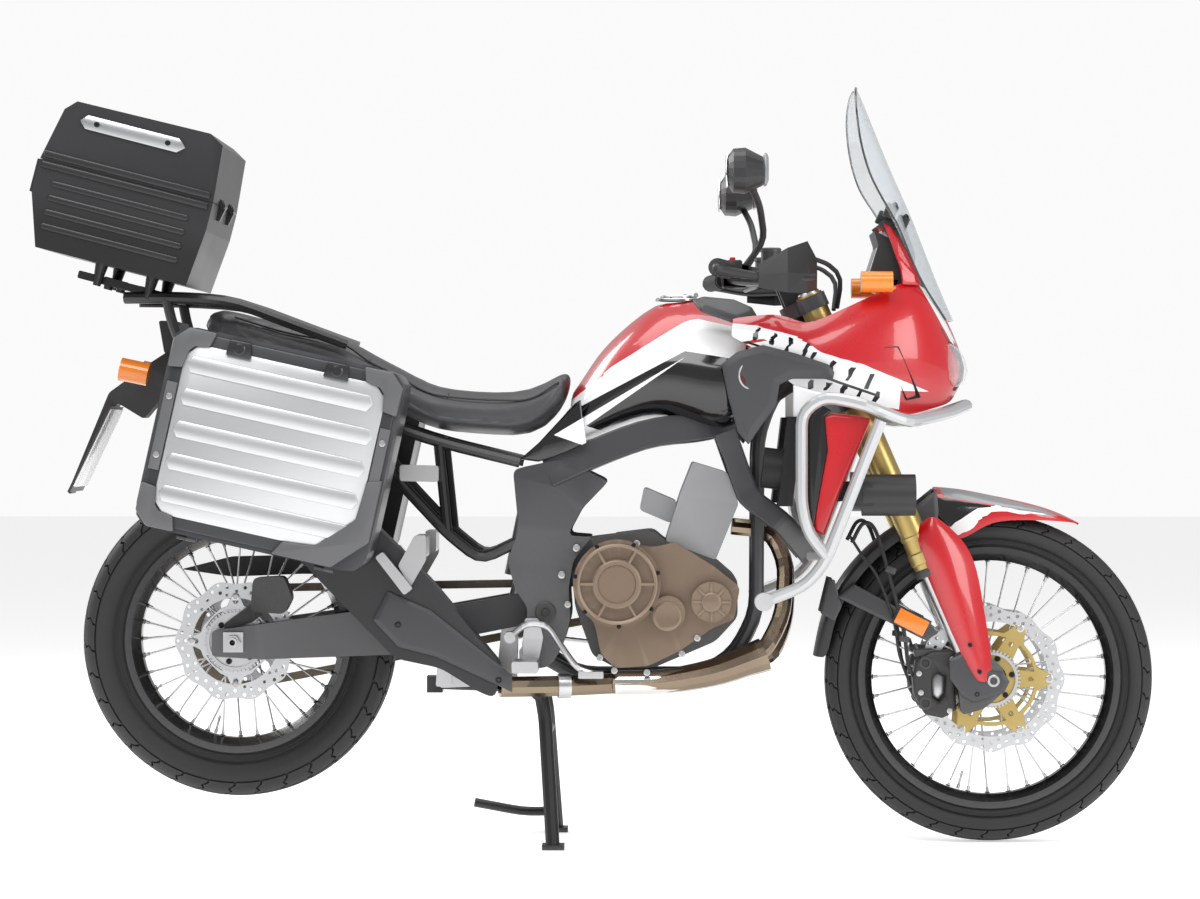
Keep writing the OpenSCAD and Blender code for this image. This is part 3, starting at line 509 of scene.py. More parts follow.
def colour4(value):
    return (*value, 1) if len(value) == 3 else value


def finish(name, colour, roughness, metallic=0.0, coat=0.0, blotch=None, blotch_scale=6.0,
        blotch_amount=0.35, grain=900.0, stretch=(1, 1, 1), bump=0.1, depth=0.0004, spread=0.12,
        edge=None, edge_amount=0.5, coat_roughness=0.05, **shader):
    """Hard finish with blotches, grain and edges rubbed to another colour."""
    material = bpy.data.materials.new(name)
    material.use_nodes = True
    tree = material.node_tree
    body = tree.nodes["Principled BSDF"]
    group = add(tree, "ShaderNodeGroup", node_tree=worn_surface)
    dark = tuple(c * 0.75 for c in colour)
    light = tuple(min(1, c * 1.6 + 0.03) for c in colour)
    for title, value in (("Colour", colour4(colour)), ("Blotch Colour", colour4(blotch or dark)),
            ("Blotch Scale", blotch_scale), ("Blotch Amount", blotch_amount),
            ("Grain Scale", grain), ("Stretch", stretch), ("Roughness", roughness),
            ("Roughness Spread", spread), ("Edge Colour", colour4(edge or light)),
            ("Edge Amount", edge_amount)):
        group.inputs[title].default_value = value
    relief = add(tree, "ShaderNodeBump", [("Height", group.outputs["Height"])])
    relief.inputs["Strength"].default_value = bump
    relief.inputs["Distance"].default_value = depth
    tree.links.new(group.outputs["Colour"], body.inputs["Base Color"])
    tree.links.new(group.outputs["Roughness"], body.inputs["Roughness"])
    tree.links.new(relief.outputs["Normal"], body.inputs["Normal"])
    body.inputs["Metallic"].default_value = metallic
    body.inputs["Coat Weight"].default_value = coat
    body.inputs["Coat Roughness"].default_value = coat_roughness
    for title, value in shader.items():
        body.inputs[title.replace("_", " ").title()].default_value = value
    material.diffuse_color = colour4(colour)
    return material


def clear_finish(name, colour, alpha, roughness=0.05, edge_alpha=0.9):
    """Thin clear plastic that turns denser at a glancing angle."""
    material = bpy.data.materials.new(name)
    material.use_nodes = True
    tree = material.node_tree
    body = tree.nodes["Principled BSDF"]
    facing_on = add(tree, "ShaderNodeLayerWeight")
    facing_on.inputs["Blend"].default_value = 0.25
    spots = add(tree, "ShaderNodeTexNoise")
    spots.inputs["Scale"].default_value = 40
    place = add(tree, "ShaderNodeTexCoord")
    tree.links.new(place.outputs["Object"], spots.inputs["Vector"])
    veil = add(tree, "ShaderNodeMapRange", [("Value", spots.outputs["Fac"])])
    veil.inputs["To Min"].default_value = max(0.0, roughness - 0.02)
    veil.inputs["To Max"].default_value = roughness + 0.04
    see = add(tree, "ShaderNodeMapRange", [("Value", facing_on.outputs["Facing"])])
    see.inputs["To Min"].default_value = alpha
    see.inputs["To Max"].default_value = edge_alpha
    tree.links.new(veil.outputs[0], body.inputs["Roughness"])
    tree.links.new(see.outputs[0], body.inputs["Alpha"])
    body.inputs["Base Color"].default_value = colour4(colour)
    body.inputs["IOR"].default_value = 1.49
    material.diffuse_color = colour4(colour)
    return material


red_paint = finish("red_gloss_paint", (0.50, 0.004, 0.010), 0.28, coat=0.8, blotch=(0.40, 0.002, 0.007),
    blotch_scale=3, bump=0.02, spread=0.05, edge=(0.6, 0.05, 0.05), edge_amount=0.2)
white_paint = finish("white_gloss_paint", (0.83, 0.83, 0.84), 0.3, coat=0.6, blotch=(0.74, 0.75, 0.76),
    blotch_scale=3, bump=0.02, spread=0.06, edge=(0.9, 0.9, 0.9))
black_paint = finish("black_gloss_paint", (0.004, 0.004, 0.005), 0.16, coat=0.7, blotch=(0.008, 0.008, 0.009),
    bump=0.02, spread=0.06, edge=(0.04, 0.04, 0.045))
grey_paint = finish("grey_gloss_paint", (0.24, 0.25, 0.26), 0.32, coat=0.5, bump=0.03)
moulded_black = finish("moulded_black_plastic", (0.010, 0.010, 0.011), 0.44, blotch=(0.02, 0.02, 0.021),
    grain=1400, bump=0.25, depth=0.0003, edge=(0.07, 0.07, 0.075))
moulded_grey = finish("moulded_grey_plastic", (0.052, 0.053, 0.056), 0.42, blotch=(0.035, 0.035, 0.037),
    grain=1300, bump=0.3, depth=0.0003, edge=(0.15, 0.15, 0.155))
deep_black = finish("sooty_black_plastic", (0.004, 0.004, 0.004), 0.6, grain=1200, bump=0.2)
frame_paint = finish("frame_satin_grey", (0.040, 0.041, 0.044), 0.36, blotch=(0.026, 0.026, 0.028),
    grain=1600, bump=0.12, edge=(0.16, 0.16, 0.165), edge_amount=0.8)
arm_paint = finish("swingarm_dark_grey", (0.060, 0.061, 0.064), 0.38, grain=1500, bump=0.14,
    blotch=(0.042, 0.042, 0.045), edge=(0.2, 0.2, 0.205), edge_amount=0.8)
tube_black = finish("tube_satin_black", (0.012, 0.012, 0.013), 0.34, grain=1600, bump=0.1,
    edge=(0.10, 0.10, 0.105), edge_amount=0.7)
rubber = finish("hose_rubber", (0.014, 0.014, 0.015), 0.62, grain=1800, bump=0.3, blotch=(0.024, 0.024,
    0.025))
tyre_rubber = finish("tyre_rubber", (0.017, 0.017, 0.018), 0.66, blotch=(0.028, 0.027, 0.026), blotch_scale=9,
    grain=1500, bump=0.3, depth=0.0003, edge=(0.05, 0.05, 0.05), edge_amount=0.5)
rim_black = finish("rim_black_anodised", (0.006, 0.006, 0.007), 0.24, metallic=0.3, coat=0.4, bump=0.04,
    edge=(0.25, 0.25, 0.26))
spoke_steel = finish("spoke_steel", (0.62, 0.62, 0.63), 0.3, metallic=1.0, grain=700, bump=0.05)
bright_steel = finish("bright_steel", (0.55, 0.55, 0.56), 0.3, metallic=1.0, grain=500, stretch=(1, 8, 1),
    bump=0.08, edge=(0.8, 0.8, 0.8))
bright_bolt = finish("zinc_bolt", (0.52, 0.52, 0.53), 0.34, metallic=1.0, blotch=(0.35, 0.34, 0.33),
    blotch_scale=60, bump=0.1)
dark_bolt = finish("black_bolt", (0.02, 0.02, 0.022), 0.35, metallic=0.6, bump=0.1, edge=(0.3, 0.3, 0.3))
disc_steel = finish("disc_steel", (0.60, 0.61, 0.62), 0.33, metallic=0.9, grain=420,
    blotch=(0.46, 0.46, 0.47), blotch_scale=18, bump=0.12, edge=(0.75, 0.75, 0.75))
gold_alloy = finish("gold_anodised", (0.50, 0.37, 0.13), 0.33, metallic=0.75, grain=260, stretch=(1, 1, 0.05),
    blotch=(0.40, 0.29, 0.10), bump=0.05, edge=(0.75, 0.62, 0.35))
bronze_cast = finish("bronze_painted_casting", (0.205, 0.147, 0.104), 0.40, metallic=0.35,
    blotch=(0.150, 0.105, 0.075), blotch_scale=14, grain=1100, bump=0.25, depth=0.0004,
    edge=(0.42, 0.33, 0.25), edge_amount=0.9)
grey_cast = finish("grey_cast_alloy", (0.205, 0.208, 0.215), 0.42, metallic=0.55, grain=1000, bump=0.35,
    depth=0.0005, blotch=(0.14, 0.142, 0.148), blotch_scale=12, edge=(0.5, 0.5, 0.51), edge_amount=0.9)
dark_cast = finish("dark_cast_alloy", (0.045, 0.044, 0.043), 0.5, metallic=0.4, grain=900, bump=0.4,
    depth=0.0006, edge=(0.2, 0.2, 0.2), edge_amount=0.8)
chrome = finish("polished_chrome", (0.72, 0.71, 0.69), 0.09, metallic=1.0, blotch=(0.6, 0.58, 0.54),
    blotch_scale=8, grain=200, bump=0.02, spread=0.06, edge=(0.9, 0.9, 0.9))
header_steel = finish("heat_tinted_steel", (0.30, 0.235, 0.16), 0.2, metallic=1.0, blotch=(0.16, 0.12, 0.10),
    blotch_scale=9, blotch_amount=0.8, bump=0.06, edge=(0.5, 0.42, 0.3))
silver_tube = finish("silver_powder_coat", (0.52, 0.53, 0.54), 0.34, metallic=0.55, grain=1500, bump=0.12,
    blotch=(0.46, 0.46, 0.47), edge=(0.75, 0.75, 0.76), coat=0.3)
brushed_panel = finish("brushed_case_panel", (0.60, 0.61, 0.62), 0.36, metallic=0.85, grain=420,
    stretch=(0.06, 1, 1), blotch=(0.52, 0.53, 0.54), blotch_scale=4, bump=0.14, depth=0.0003,
    edge=(0.85, 0.85, 0.86))
brushed_trim = finish("brushed_case_trim", (0.50, 0.51, 0.52), 0.3, metallic=0.9, grain=500,
    stretch=(0.1, 1, 1), bump=0.1, edge=(0.8, 0.8, 0.8))
case_black = finish("case_black_plastic", (0.010, 0.010, 0.011), 0.3, coat=0.15, grain=1500, bump=0.14,
    blotch=(0.016, 0.016, 0.017), edge=(0.07, 0.07, 0.075))
case_grey = finish("case_grey_plastic", (0.10, 0.102, 0.105), 0.42, grain=1300, bump=0.25,
    edge=(0.22, 0.22, 0.22))
case_frame = finish("case_frame_coating", (0.026, 0.028, 0.031), 0.40, metallic=0.3, grain=1500, bump=0.16,
    edge=(0.14, 0.14, 0.15), edge_amount=0.8)
chain_steel = finish("oiled_chain_steel", (0.16, 0.135, 0.10), 0.4, metallic=0.9, grain=300, bump=0.2,
    blotch=(0.05, 0.045, 0.035), blotch_scale=90, blotch_amount=0.7)
cooler_black = finish("cooler_fins", (0.007, 0.007, 0.008), 0.5, metallic=0.3, grain=700, bump=0.3)
amber = finish("amber_lens", (0.78, 0.20, 0.012), 0.14, coat=0.6, grain=300, bump=0.2, depth=0.0006,
    blotch=(0.55, 0.12, 0.01), blotch_scale=30)
red_lens = finish("red_lens", (0.55, 0.006, 0.010), 0.12, coat=0.7, grain=260, bump=0.2, depth=0.0006,
    blotch=(0.35, 0.004, 0.006), blotch_scale=30)
mirror_glass = finish("mirror_glass", (0.82, 0.84, 0.86), 0.03, metallic=1.0, bump=0.0, spread=0.02)
display_glass = finish("dark_display_glass", (0.010, 0.012, 0.014), 0.08, coat=0.8, bump=0.01)
signal_red = finish("red_switch", (0.60, 0.01, 0.01), 0.35, bump=0.05)
screen_clear = clear_finish("clear_screen", (0.62, 0.67, 0.70), 0.13, 0.04, 0.75)
lens_clear = clear_finish("clear_lens", (0.75, 0.78, 0.80), 0.22, 0.04, 0.8)


# ---- Wheels ----

def around(hub, angle):
    """Turn about a wheel's axle."""
    return (Matrix.Translation(hub) @ Matrix.Rotation(-angle, 4, "Y")
        @ Matrix.Translation(-Vector(hub)))


def crown(hub, r, bead, half, depth, a, turn):
    """Point on a tyre: a degrees over the shoulder, turn radians round the wheel."""
    c = bead + 0.54 * (r - bead)
    radius = (c + (r - c - depth) * math.cos(math.radians(a))) / 1000
    y = (half - depth) * math.sin(math.radians(a)) / 1000
    return hub + Vector((radius * math.cos(turn), y, radius * math.sin(turn)))


def build_tyre(name, hub, r, bead, half, bead_half, pitches, body, node):
    groove = 5.5
    pitch = FULL_TURN / pitches
    c = bead + 0.54 * (r - bead)
    loop = [(bead, -bead_half), (bead + 8, -bead_half - 1.5), (bead + 13, -bead_half + 0.5)]
    for a in range(-100, 101, 8):
        depth = 0.2 + groove * max(0, min(1, (76 - abs(a)) / 8))
        loop.append((c + (r - c - depth) * math.cos(math.radians(a)),
            (half - depth) * math.sin(math.radians(a))))
    loop += [(bead + 13, bead_half - 0.5), (bead + 8, bead_half + 1.5), (bead, bead_half),
        (bead, bead_half - 9), (c, half - 10), (r - 12, 0), (c, 10 - half), (bead, 9 - bead_half)]
    carcass = turned(name + "_carcass", loop, hub, steps=120)
    rows = {
        "shoulder": [(27, 0.05), (38, 0.30), (50, 0.22), (61, 0.42), (70, 0.46)],
        "centre": [(-23, 0.22), (-12, 0.16), (0, 0.0), (12, -0.16), (23, -0.22)]}
    parts = [carcass]
    for kind, side in (("shoulder", 1), ("shoulder", -1), ("centre", 1)):
        points = rows[kind]
        across = 6
        wide = 0.925 if kind == "shoulder" else 0.90
        nothing_selected()
        bpy.ops.mesh.primitive_grid_add(x_subdivisions=across - 1,
            y_subdivisions=len(points) - 1, size=0.01)
        block = bpy.context.object
        spots = [(side * a, (start + wide * k / (across - 1)) * pitch)
            for a, start in points for k in range(across)]
        for vertex, (a, turn) in zip(block.data.vertices, spots):
            vertex.co = crown(hub, r, bead, half, groove + 1.5, a, turn)
        edit(block)
        bpy.ops.mesh.extrude_region_move(TRANSFORM_OT_translate={"value": (0, 0, 0)})
        done()
        for vertex in [v for v in block.data.vertices if v.select]:
            near = min(spots, key=lambda s: (crown(hub, r, bead, half, groove + 1.5, *s)
                - vertex.co).length_squared)
            vertex.co = crown(hub, r, bead, half, 0.4, *near)
        outward(block)
        soften(block, 1.0, 1, 50)
        block.name = name + "_" + kind
        parts.append(copied(block, [around(hub, k * pitch) for k in range(pitches)]))
    for side in (-1, 1):
        for radius in (bead + 19, bead + 24):
            y = side * (half - 1.6 if radius < c else half)
            lip = [(radius - 1.2, y), (radius, y + side * 1.6), (radius + 1.2, y),
                (radius, y - side * 4)]
            parts.append(turned(name + "_rib", lip, hub, steps=96))
    tyre = joined(name, parts)
    smooth(tyre, 40)
    return wear(tyre, tyre_rubber, body, [node])


build_tyre("front_tyre_tread", front_hub, 348, FRONT_BEAD, 46, 27, 38, "front_wheel_set", "front_tyre")
build_tyre("rear_tyre_tread", rear_hub, 334, REAR_BEAD, 75, 52, 34, "rear_wheel_set", "rear_tyre")


def polar(hub, r, degrees, y):
    a = math.radians(degrees)
    return hub + Vector((r * math.cos(a) / 1000, y / 1000, r * math.sin(a) / 1000))


def build_rim_details(name, hub, bead, hub_r, flange_y, body):
    """Spoke nipples on the rim, raised seats under them on the rim, and the valve."""
    rim_in = bead - 19
    nothing_selected()
    bpy.ops.mesh.primitive_cylinder_add(vertices=10, radius=0.0034, depth=0.016, location=(0, 0, 0.002))
    nipple = settle(take(name))
    soften(nipple, 0.8, 2, 50)
    places = []
    for side in (-1, 1):
        for k in range(9):
            for lead in (-1, 1):
                a = 40 * k + (0 if lead > 0 else 20) + (10 if side > 0 else 0)
                b = a + 60 * lead
                end = polar(hub, rim_in + 3, b, side * 7)
                start = polar(hub, hub_r - 6, a, side * (flange_y + 5 * lead))
                way = (start - end).normalized()
                places.append(facing(end + way * 0.006, way))
    nipples = smooth(copied(nipple, places))
    wear(nipples, bright_bolt, body)
    dimple = bolt_part(name + "_seat", 6, 2, socket=False)
    seats = copied(dimple, [facing(polar(hub, rim_in - 1.2, math.degrees(math.atan2(
        p.translation.z - hub.z, p.translation.x - hub.x)), (p.translation.y - hub.y) * 1000),
        hub - Vector((p.translation.x, hub.y, p.translation.z))) for p in places])
    wear(seats, rim_black, body)
    stem = turned(name + "_valve", [(0, 0), (3.6, 0), (3.6, 8), (2.4, 9), (2.4, 30), (3, 31),
        (3, 38), (0, 38)], polar(hub, rim_in - 2, 255, 4), polar(hub, 0, 0, 4) - polar(hub, rim_in, 255, 4))
    wear(stem, bright_bolt, body)


build_rim_details("front_nipples", front_hub, FRONT_BEAD, 26, 40, "front_wheel_set")
build_rim_details("rear_nipples", rear_hub, REAR_BEAD, 30, 52, "rear_wheel_set")


def wave(r, lobes, depth, n=180):
    return [((r - depth + depth * math.cos(lobes * FULL_TURN * k / n)) * math.cos(FULL_TURN * k / n),
        (r - depth + depth * math.cos(lobes * FULL_TURN * k / n)) * math.sin(FULL_TURN * k / n))
        for k in range(n)]


def hub_plate(name, outline, hub, y0, y1, edge=0.6):
    """Plate whose outline is measured from a wheel's middle."""
    x0, z0 = (hub.x - rear_x) * 1000, hub.z * 1000
    return plate(name, [(x0 + u, z0 + v) for u, v in outline], y0, y1, edge=edge, segments=1)


def punch(obj, hub, holes, y0, y1, sides=12):
    """Cuts round holes (radius from the middle, degrees, hole radius) through a plate."""
    pins = []
    for r, degrees, hole in holes:
        nothing_selected()
        bpy.ops.mesh.primitive_cylinder_add(vertices=sides, radius=hole / 1000,
            depth=(y1 - y0) / 1000, location=polar(hub, r, degrees, (y0 + y1) / 2),
            rotation=(math.pi / 2, 0, 0))
        pins.append(settle(bpy.context.object))
    return cut(obj, joined("pins", pins))


def build_disc(name, hub, r, width, y, lobes, rows, carrier_r, arms, gold, body):
    ring = hub_plate(name + "_ring", wave(r, lobes, 4), hub, y - 2.4, y + 2.4, edge=0)
    holes = [(0, 0, r - width)]
    ring = punch(ring, hub, holes, y - 9, y + 9, 96)
    step = 360 / lobes
    ring = punch(ring, hub, [(radius, step * k + shift, hole) for k in range(lobes)
        for radius, shift, hole in rows], y - 9, y + 9)
    wear(smooth(ring), disc_steel, body)
    outline = []
    for k in range(arms):
        middle = 360 / arms * k
        for degrees, radius in ((-26, carrier_r), (-14, carrier_r), (-5, r - width + 5),
                (5, r - width + 5), (14, carrier_r), (26, carrier_r)):
            a = math.radians(middle + degrees)
            outline.append((radius * math.cos(a), radius * math.sin(a)))
    spider = hub_plate(name + "_carrier", outline, hub, y - 3.4, y + 3.4, edge=0)
    windows = []
    for k in range(arms):
        middle = 360 / arms * (k + 0.5)
        near, far = 60, carrier_r - 8
        points = []
        for radius, degrees in ((near, -11), (far, -20), (far, -6.8), (far, 6.8), (far, 20), (near, 11)):
            a = math.radians(middle + degrees)
            points.append((radius * math.cos(a), radius * math.sin(a)))
        windows.append(hub_plate("window", points, hub, y - 9, y + 9, edge=0))
    spider = cut(spider, joined("windows", windows))
    spider = punch(spider, hub, [(0, 0, 33)] + [(84, 360 / arms * k, 5) for k in range(arms)],
        y - 9, y + 9, 24)
    soften(spider, 0.7, 1, 40)
    wear(smooth(spider), gold, body)
    side = -1 if y < 0 else 1
    button = turned(name + "_buttons", [(0, 0), (8, 0), (8, 1.4), (6.6, 2.2), (4.2, 2.2), (4.2, 1.2), (0,
        1.2)],
        Vector((0, 0, 0)), (0, 0, 1), 20)
    places = [facing(polar(hub, r - width + 2, 360 / arms * k, y + side * 3.2), (0, side, 0))
        for k in range(arms)]
    wear(copied(button, places), bright_bolt, body)
    head = bolt_part(name + "_bolts", 6.2, 5)
    places = [facing(polar(hub, 45, 360 / 6 * k + 12, y + side * 3.2), (0, side, 0)) for k in range(6)]
    wear(copied(head, places), dark_bolt, body)


drill_rows = [(150, 0, 3.6), (143, -7, 3.9), (143, 7, 3.9), (135, 0, 3.9), (134, 14, 3.6), (127.5, -8, 3.2),
    (127.5, 7, 3.2)]
for disc_name, disc_side in (("front_disc_right", -1), ("front_disc_left", 1)):
    build_disc(disc_name, front_hub, 155, 34, disc_side * 68, 12, drill_rows, 100, 6, gold_alloy,
        "front_wheel_set")
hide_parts("front_discs")
rear_rows = [(122, 0, 3.6), (115, -9, 3.9), (114, 8, 3.9), (106, 0, 3.9), (105, 17, 3.6), (98, -7, 3.2)]
build_disc("rear_disc_detail", rear_hub, 128, 37, -90, 10, rear_rows, 76, 4, disc_steel,
    "rear_wheel_set")
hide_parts("rear_disc")


def build_speed_ring(name, hub, r, y, side, body):
    """Slotted ring that the wheel speed sensor reads."""
    teeth = 48
    outline = []
    for k in range(teeth):
        for part, radius in ((0.0, r), (0.5, r), (0.5, r - 5), (1.0, r - 5)):
            a = FULL_TURN * (k + part) / teeth
            outline.append((radius * math.cos(a), radius * math.sin(a)))
    ring = hub_plate(name, outline, hub, y, y + side * 2.5, edge=0)
    ring = punch(ring, hub, [(0, 0, r - 11)], y - 9, y + 9, 64)
    wear(smooth(ring), bright_steel, body)


build_speed_ring("rear_speed_ring", rear_hub, 66, -96, -1, "rear_wheel_set")
build_speed_ring("front_speed_ring", front_hub, 62, -74, -1, "front_wheel_set")

hub_caps = []
for hub, y, r in ((front_hub, 60, 30), (front_hub, -60, 30), (rear_hub, 84, 34), (rear_hub, -84, 34)):
    side = 1 if y > 0 else -1
    hub_caps.append((hub, turned("hub_seal", [(11, 0), (r, 0), (r, 3), (r - 4, 5), (r - 8, 4), (15, 4),
        (14, 7), (11, 7)], hub + Vector((0, y / 1000, 0)), (0, side, 0), 40)))
for body_name, hub in (("front_wheel_set", front_hub), ("rear_wheel_set", rear_hub)):
    seals = joined("hub_seals_" + body_name, [cap for place, cap in hub_caps if place == hub])
    wear(seals, dark_cast, body_name)


def build_sprocket():
    teeth = 42
    outline = []
    for k in range(teeth):
        for part, radius in ((0.0, 101), (0.22, 109), (0.34, 110), (0.56, 101), (0.8, 99.5)):
            a = FULL_TURN * (k + part) / teeth
            outline.append((radius * math.cos(a), radius * math.sin(a)))
    ring = hub_plate("sprocket_teeth", outline, rear_hub, 90, 95, edge=0)
    ring = punch(ring, rear_hub, [(0, 0, 30)] + [(76, 60 * k, 15) for k in range(6)]
        + [(52, 60 * k + 30, 8) for k in range(6)] + [(92, 60 * k + 30, 4) for k in range(6)],
        80, 105, 24)
    soften(ring, 0.5, 1, 50)
    wear(smooth(ring), bright_steel, "rear_wheel_set", ["rear_sprocket"])


build_sprocket()


# ---- Pieces through free points ----

def panel_of(name, points, depth, inset=0.0, lift=0.0, edge=1.2, segments=2):
    """Flat-faced panel: outline in millimetres, given depth along a vector, with a raised middle."""
    obj = ring_of([at(*p) for p in points])
    edit(obj)
    bpy.ops.mesh.extrude_region_move(
        TRANSFORM_OT_translate={"value": [d / 1000 for d in depth]})
    if inset:
        bpy.ops.mesh.inset(thickness=inset / 1000, depth=0)
        bpy.ops.transform.translate(value=[d / 1000 * lift for d in depth])
    bpy.ops.mesh.select_all(action="SELECT")
    bpy.ops.mesh.normals_make_consistent(inside=False)
    done()
    if edge:
        soften(obj, edge, segments, 14)
    take(name)
    return smooth(obj, 24)


def profile_rows(ribs, count=6):
    """Rows through (top, middle, bottom) points of each rib."""
    rows = []
    for a, b, c in ribs:
        a, b, c = at(*a), at(*b), at(*c)
        control = b * 2 - (a + c) / 2
        rows.append([a * (1 - t) ** 2 + control * 2 * t * (1 - t) + c * t * t
            for t in (k / (count - 1) for k in range(count))])
    return rows


def box_part(name, low, high, edge=1.5, turn=None, segments=2):
    """Rounded block between two corners, given in millimetres."""
    a, b = at(*low), at(*high)
    nothing_selected()
    bpy.ops.mesh.primitive_cube_add(size=1, location=(a + b) / 2)
    obj = take(name)
    obj.scale = [abs(b[k] - a[k]) for k in range(3)]
    if turn:
        obj.rotation_euler = [math.radians(t) for t in turn]
    settle(obj)
    soften(obj, edge, segments, 30)
    return smooth(obj)


# ---- Fork, mudguard and front brakes ----

def build_fork_guards():
    ribs = [((1452, -126, 690), (1464, -134, 691), (1476, -124, 688)),
        ((1413, -125, 656), (1464, -145, 662), (1522, -124, 652)),
        ((1428, -126, 622), (1474, -150, 626), (1550, -123, 606)),
        ((1446, -127, 580), (1490, -150, 580), (1562, -122, 556)),
        ((1468, -128, 528), (1508, -149, 528), (1570, -122, 508)),
        ((1490, -130, 476), (1524, -147, 476), (1578, -123, 460)),
        ((1513, -131, 424), (1540, -145, 424), (1585, -124, 414)),
        ((1536, -132, 374), (1556, -143, 376), (1590, -126, 374)),
        ((1556, -134, 348), (1568, -139, 346), (1580, -130, 348))]
    guard = sheet_of("fork_guard", profile_rows(ribs, 7), thick=3.5, levels=1, offset=1, angle=28)
    wear(both_sides(guard, "fork_guard_shells"), red_paint, "steering", ["fork_guards"])
    spots = [(1540, -148, 424), (1560, -146, 368)]
    bolts("fork_guard_bolts", spots, (0, -1, 0), 5, 3, "steering", dark_bolt)


def build_mudguard():
    stations = [(1782, 677, 674, 5), (1745, 697, 679, 36), (1700, 713, 682, 54), (1650, 725, 683, 63),
        (1600, 735, 681, 68), (1562, 743, 662, 70), (1530, 749, 640, 71), (1500, 752, 648, 71),
        (1474, 754, 690, 68)]
    rows = []
    for x, top, low, half in stations:
        rows.append([at(x, y * half, z) for y, z in ((-0.98, low), (-1.0, low + (top - low) * 0.42),
            (-0.86, low + (top - low) * 0.72), (-0.42, top - 5), (0, top), (0.42, top - 5),
            (0.86, low + (top - low) * 0.72), (1.0, low + (top - low) * 0.42), (0.98, low))])
    beak = sheet_of("mudguard_beak", rows, thick=3, levels=2, angle=30)
    colour_areas(beak, [(red_paint, None),
        (grey_paint, [(1484, 744), (1500, 751), (1600, 732), (1700, 706), (1740, 688), (1690, 696),
            (1600, 714), (1500, 730)]),
        (black_paint, [(1478, 730), (1500, 728), (1596, 712), (1578, 690), (1540, 668), (1470, 672)]),
        (white_paint, [(1500, 664), (1520, 680), (1560, 706), (1600, 713), (1660, 702), (1716, 694),
            (1660, 696), (1600, 702), (1572, 690), (1546, 660), (1520, 650)])])
    wear(beak, None, "steering", ["front_mudguard"])
    rows = []
    for k in range(11):
        a = math.radians(100 + 7.3 * k)
        r = 372 + (4 if k < 9 else 0)
        half = (64, 66, 67, 67, 66, 64, 61, 57, 52, 46, 36)[k]
        x, z = FRONT_X + r * math.cos(a), FRONT_Z + r * math.sin(a)
        inward = (-math.cos(a), -math.sin(a))
        rows.append([at(x + inward[0] * d, y * half, z + inward[1] * d) for y, d in
            ((-0.94, 26), (-1.0, 10), (-0.8, 1), (0, 0), (0.8, 1), (1.0, 10), (0.94, 26))])
    flap = sheet_of("mudguard_flap", rows, thick=3, levels=1, offset=1, angle=30)
    wear(flap, moulded_black, "steering")
    arm = panel_of("mudguard_stay", [(1268, -70, 520), (1302, -72, 548), (1392, -96, 500),
        (1456, -116, 474), (1474, -118, 446), (1450, -116, 432), (1388, -98, 462), (1308, -74, 500)],
        (0, -5, 0), 6, 0.4, 1.0)
    bracket = panel_of("mudguard_bracket", [(1404, -64, 690), (1476, -66, 748), (1480, -70, 700),
        (1474, -72, 640), (1440, -74, 610), (1398, -72, 640)], (0, -6, 0), 9, 0.5, 1.2)
    rib = panel_of("mudguard_rib", [(1232, -60, 486), (1250, -62, 560), (1262, -66, 556), (1276, -68, 500),
        (1262, -66, 470)], (0, -4, 0), 4, 0.5, 1)
    stays = joined("mudguard_stays", [both_sides(arm), both_sides(bracket), both_sides(rib)])
    wear(stays, moulded_grey, "steering")
    lens = box_part("side_reflector", (1386, -123, 453), (1454, -112, 487), 2, (0, 27, 0))
    frame_part = box_part("reflector_tray", (1382, -116, 449), (1458, -108, 491), 2, (0, 27, 0))
    wear(both_sides(lens, "side_reflectors"), amber, "steering")
    wear(both_sides(frame_part, "reflector_trays"), moulded_black, "steering")


def build_front_brake(side):
    tag = "right" if side < 0 else "left"
    parts = []
    body = panel_of("caliper", [(1430, -54, 388), (1462, -54, 408), (1508, -54, 410), (1522, -54, 372),
        (1512, -54, 330), (1516, -54, 286), (1486, -54, 268), (1450, -54, 276), (1426, -54, 318),
        (1424, -54, 352)], (0, -54, 0), 7, 0.06, 3, 3)
    window = plate("window", [(1462, 352), (1478, 366), (1494, 358), (1492, 316), (1478, 300), (1464, 312)],
        -120, -88, edge=2)
    parts.append(cut(body, window))
    for z in (384, 300):
        parts.append(turned("piston_boss", [(0, 0), (15, 0), (15, 5), (12, 8), (8, 8), (7, 5), (0, 5)],
            at(1450, -106, z), (0, -1, 0), 28))
    parts.append(box_part("bridge", (1428, -100, 396), (1470, -60, 412), 3))
    parts.append(tube("bleed_neck", [(1436, -92, 404), (1430, -92, 424)], 3.4, round_by=3))
    calipers = joined("front_caliper_" + tag, parts)
    pad = plate("brake_pad_" + tag, [(1464, 350), (1476, 362), (1490, 354), (1489, 320), (1478, 306),
        (1466, 314)], -92, -84, edge=1)
    pins = copied(bolt_part("pin"), [facing(at(x, -110, z), (0, -1, 0)) for x, z in
        ((1436, 362), (1440, 322), (1506, 392), (1500, 284))])
    joined_bits = joined("brake_pads_" + tag, [pad, pins])
    if side > 0:
        for obj in (calipers, joined_bits):
            other = twin(obj, obj.name + "_m")
            bpy.data.objects.remove(obj)
            wear(other, dark_cast if "caliper" in other.name else bright_steel, "steering")
            if "caliper" in other.name:
                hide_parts("front_calipers")
        return
    wear(calipers, dark_cast, "steering", ["front_calipers"])
    wear(joined_bits, bright_steel, "steering")


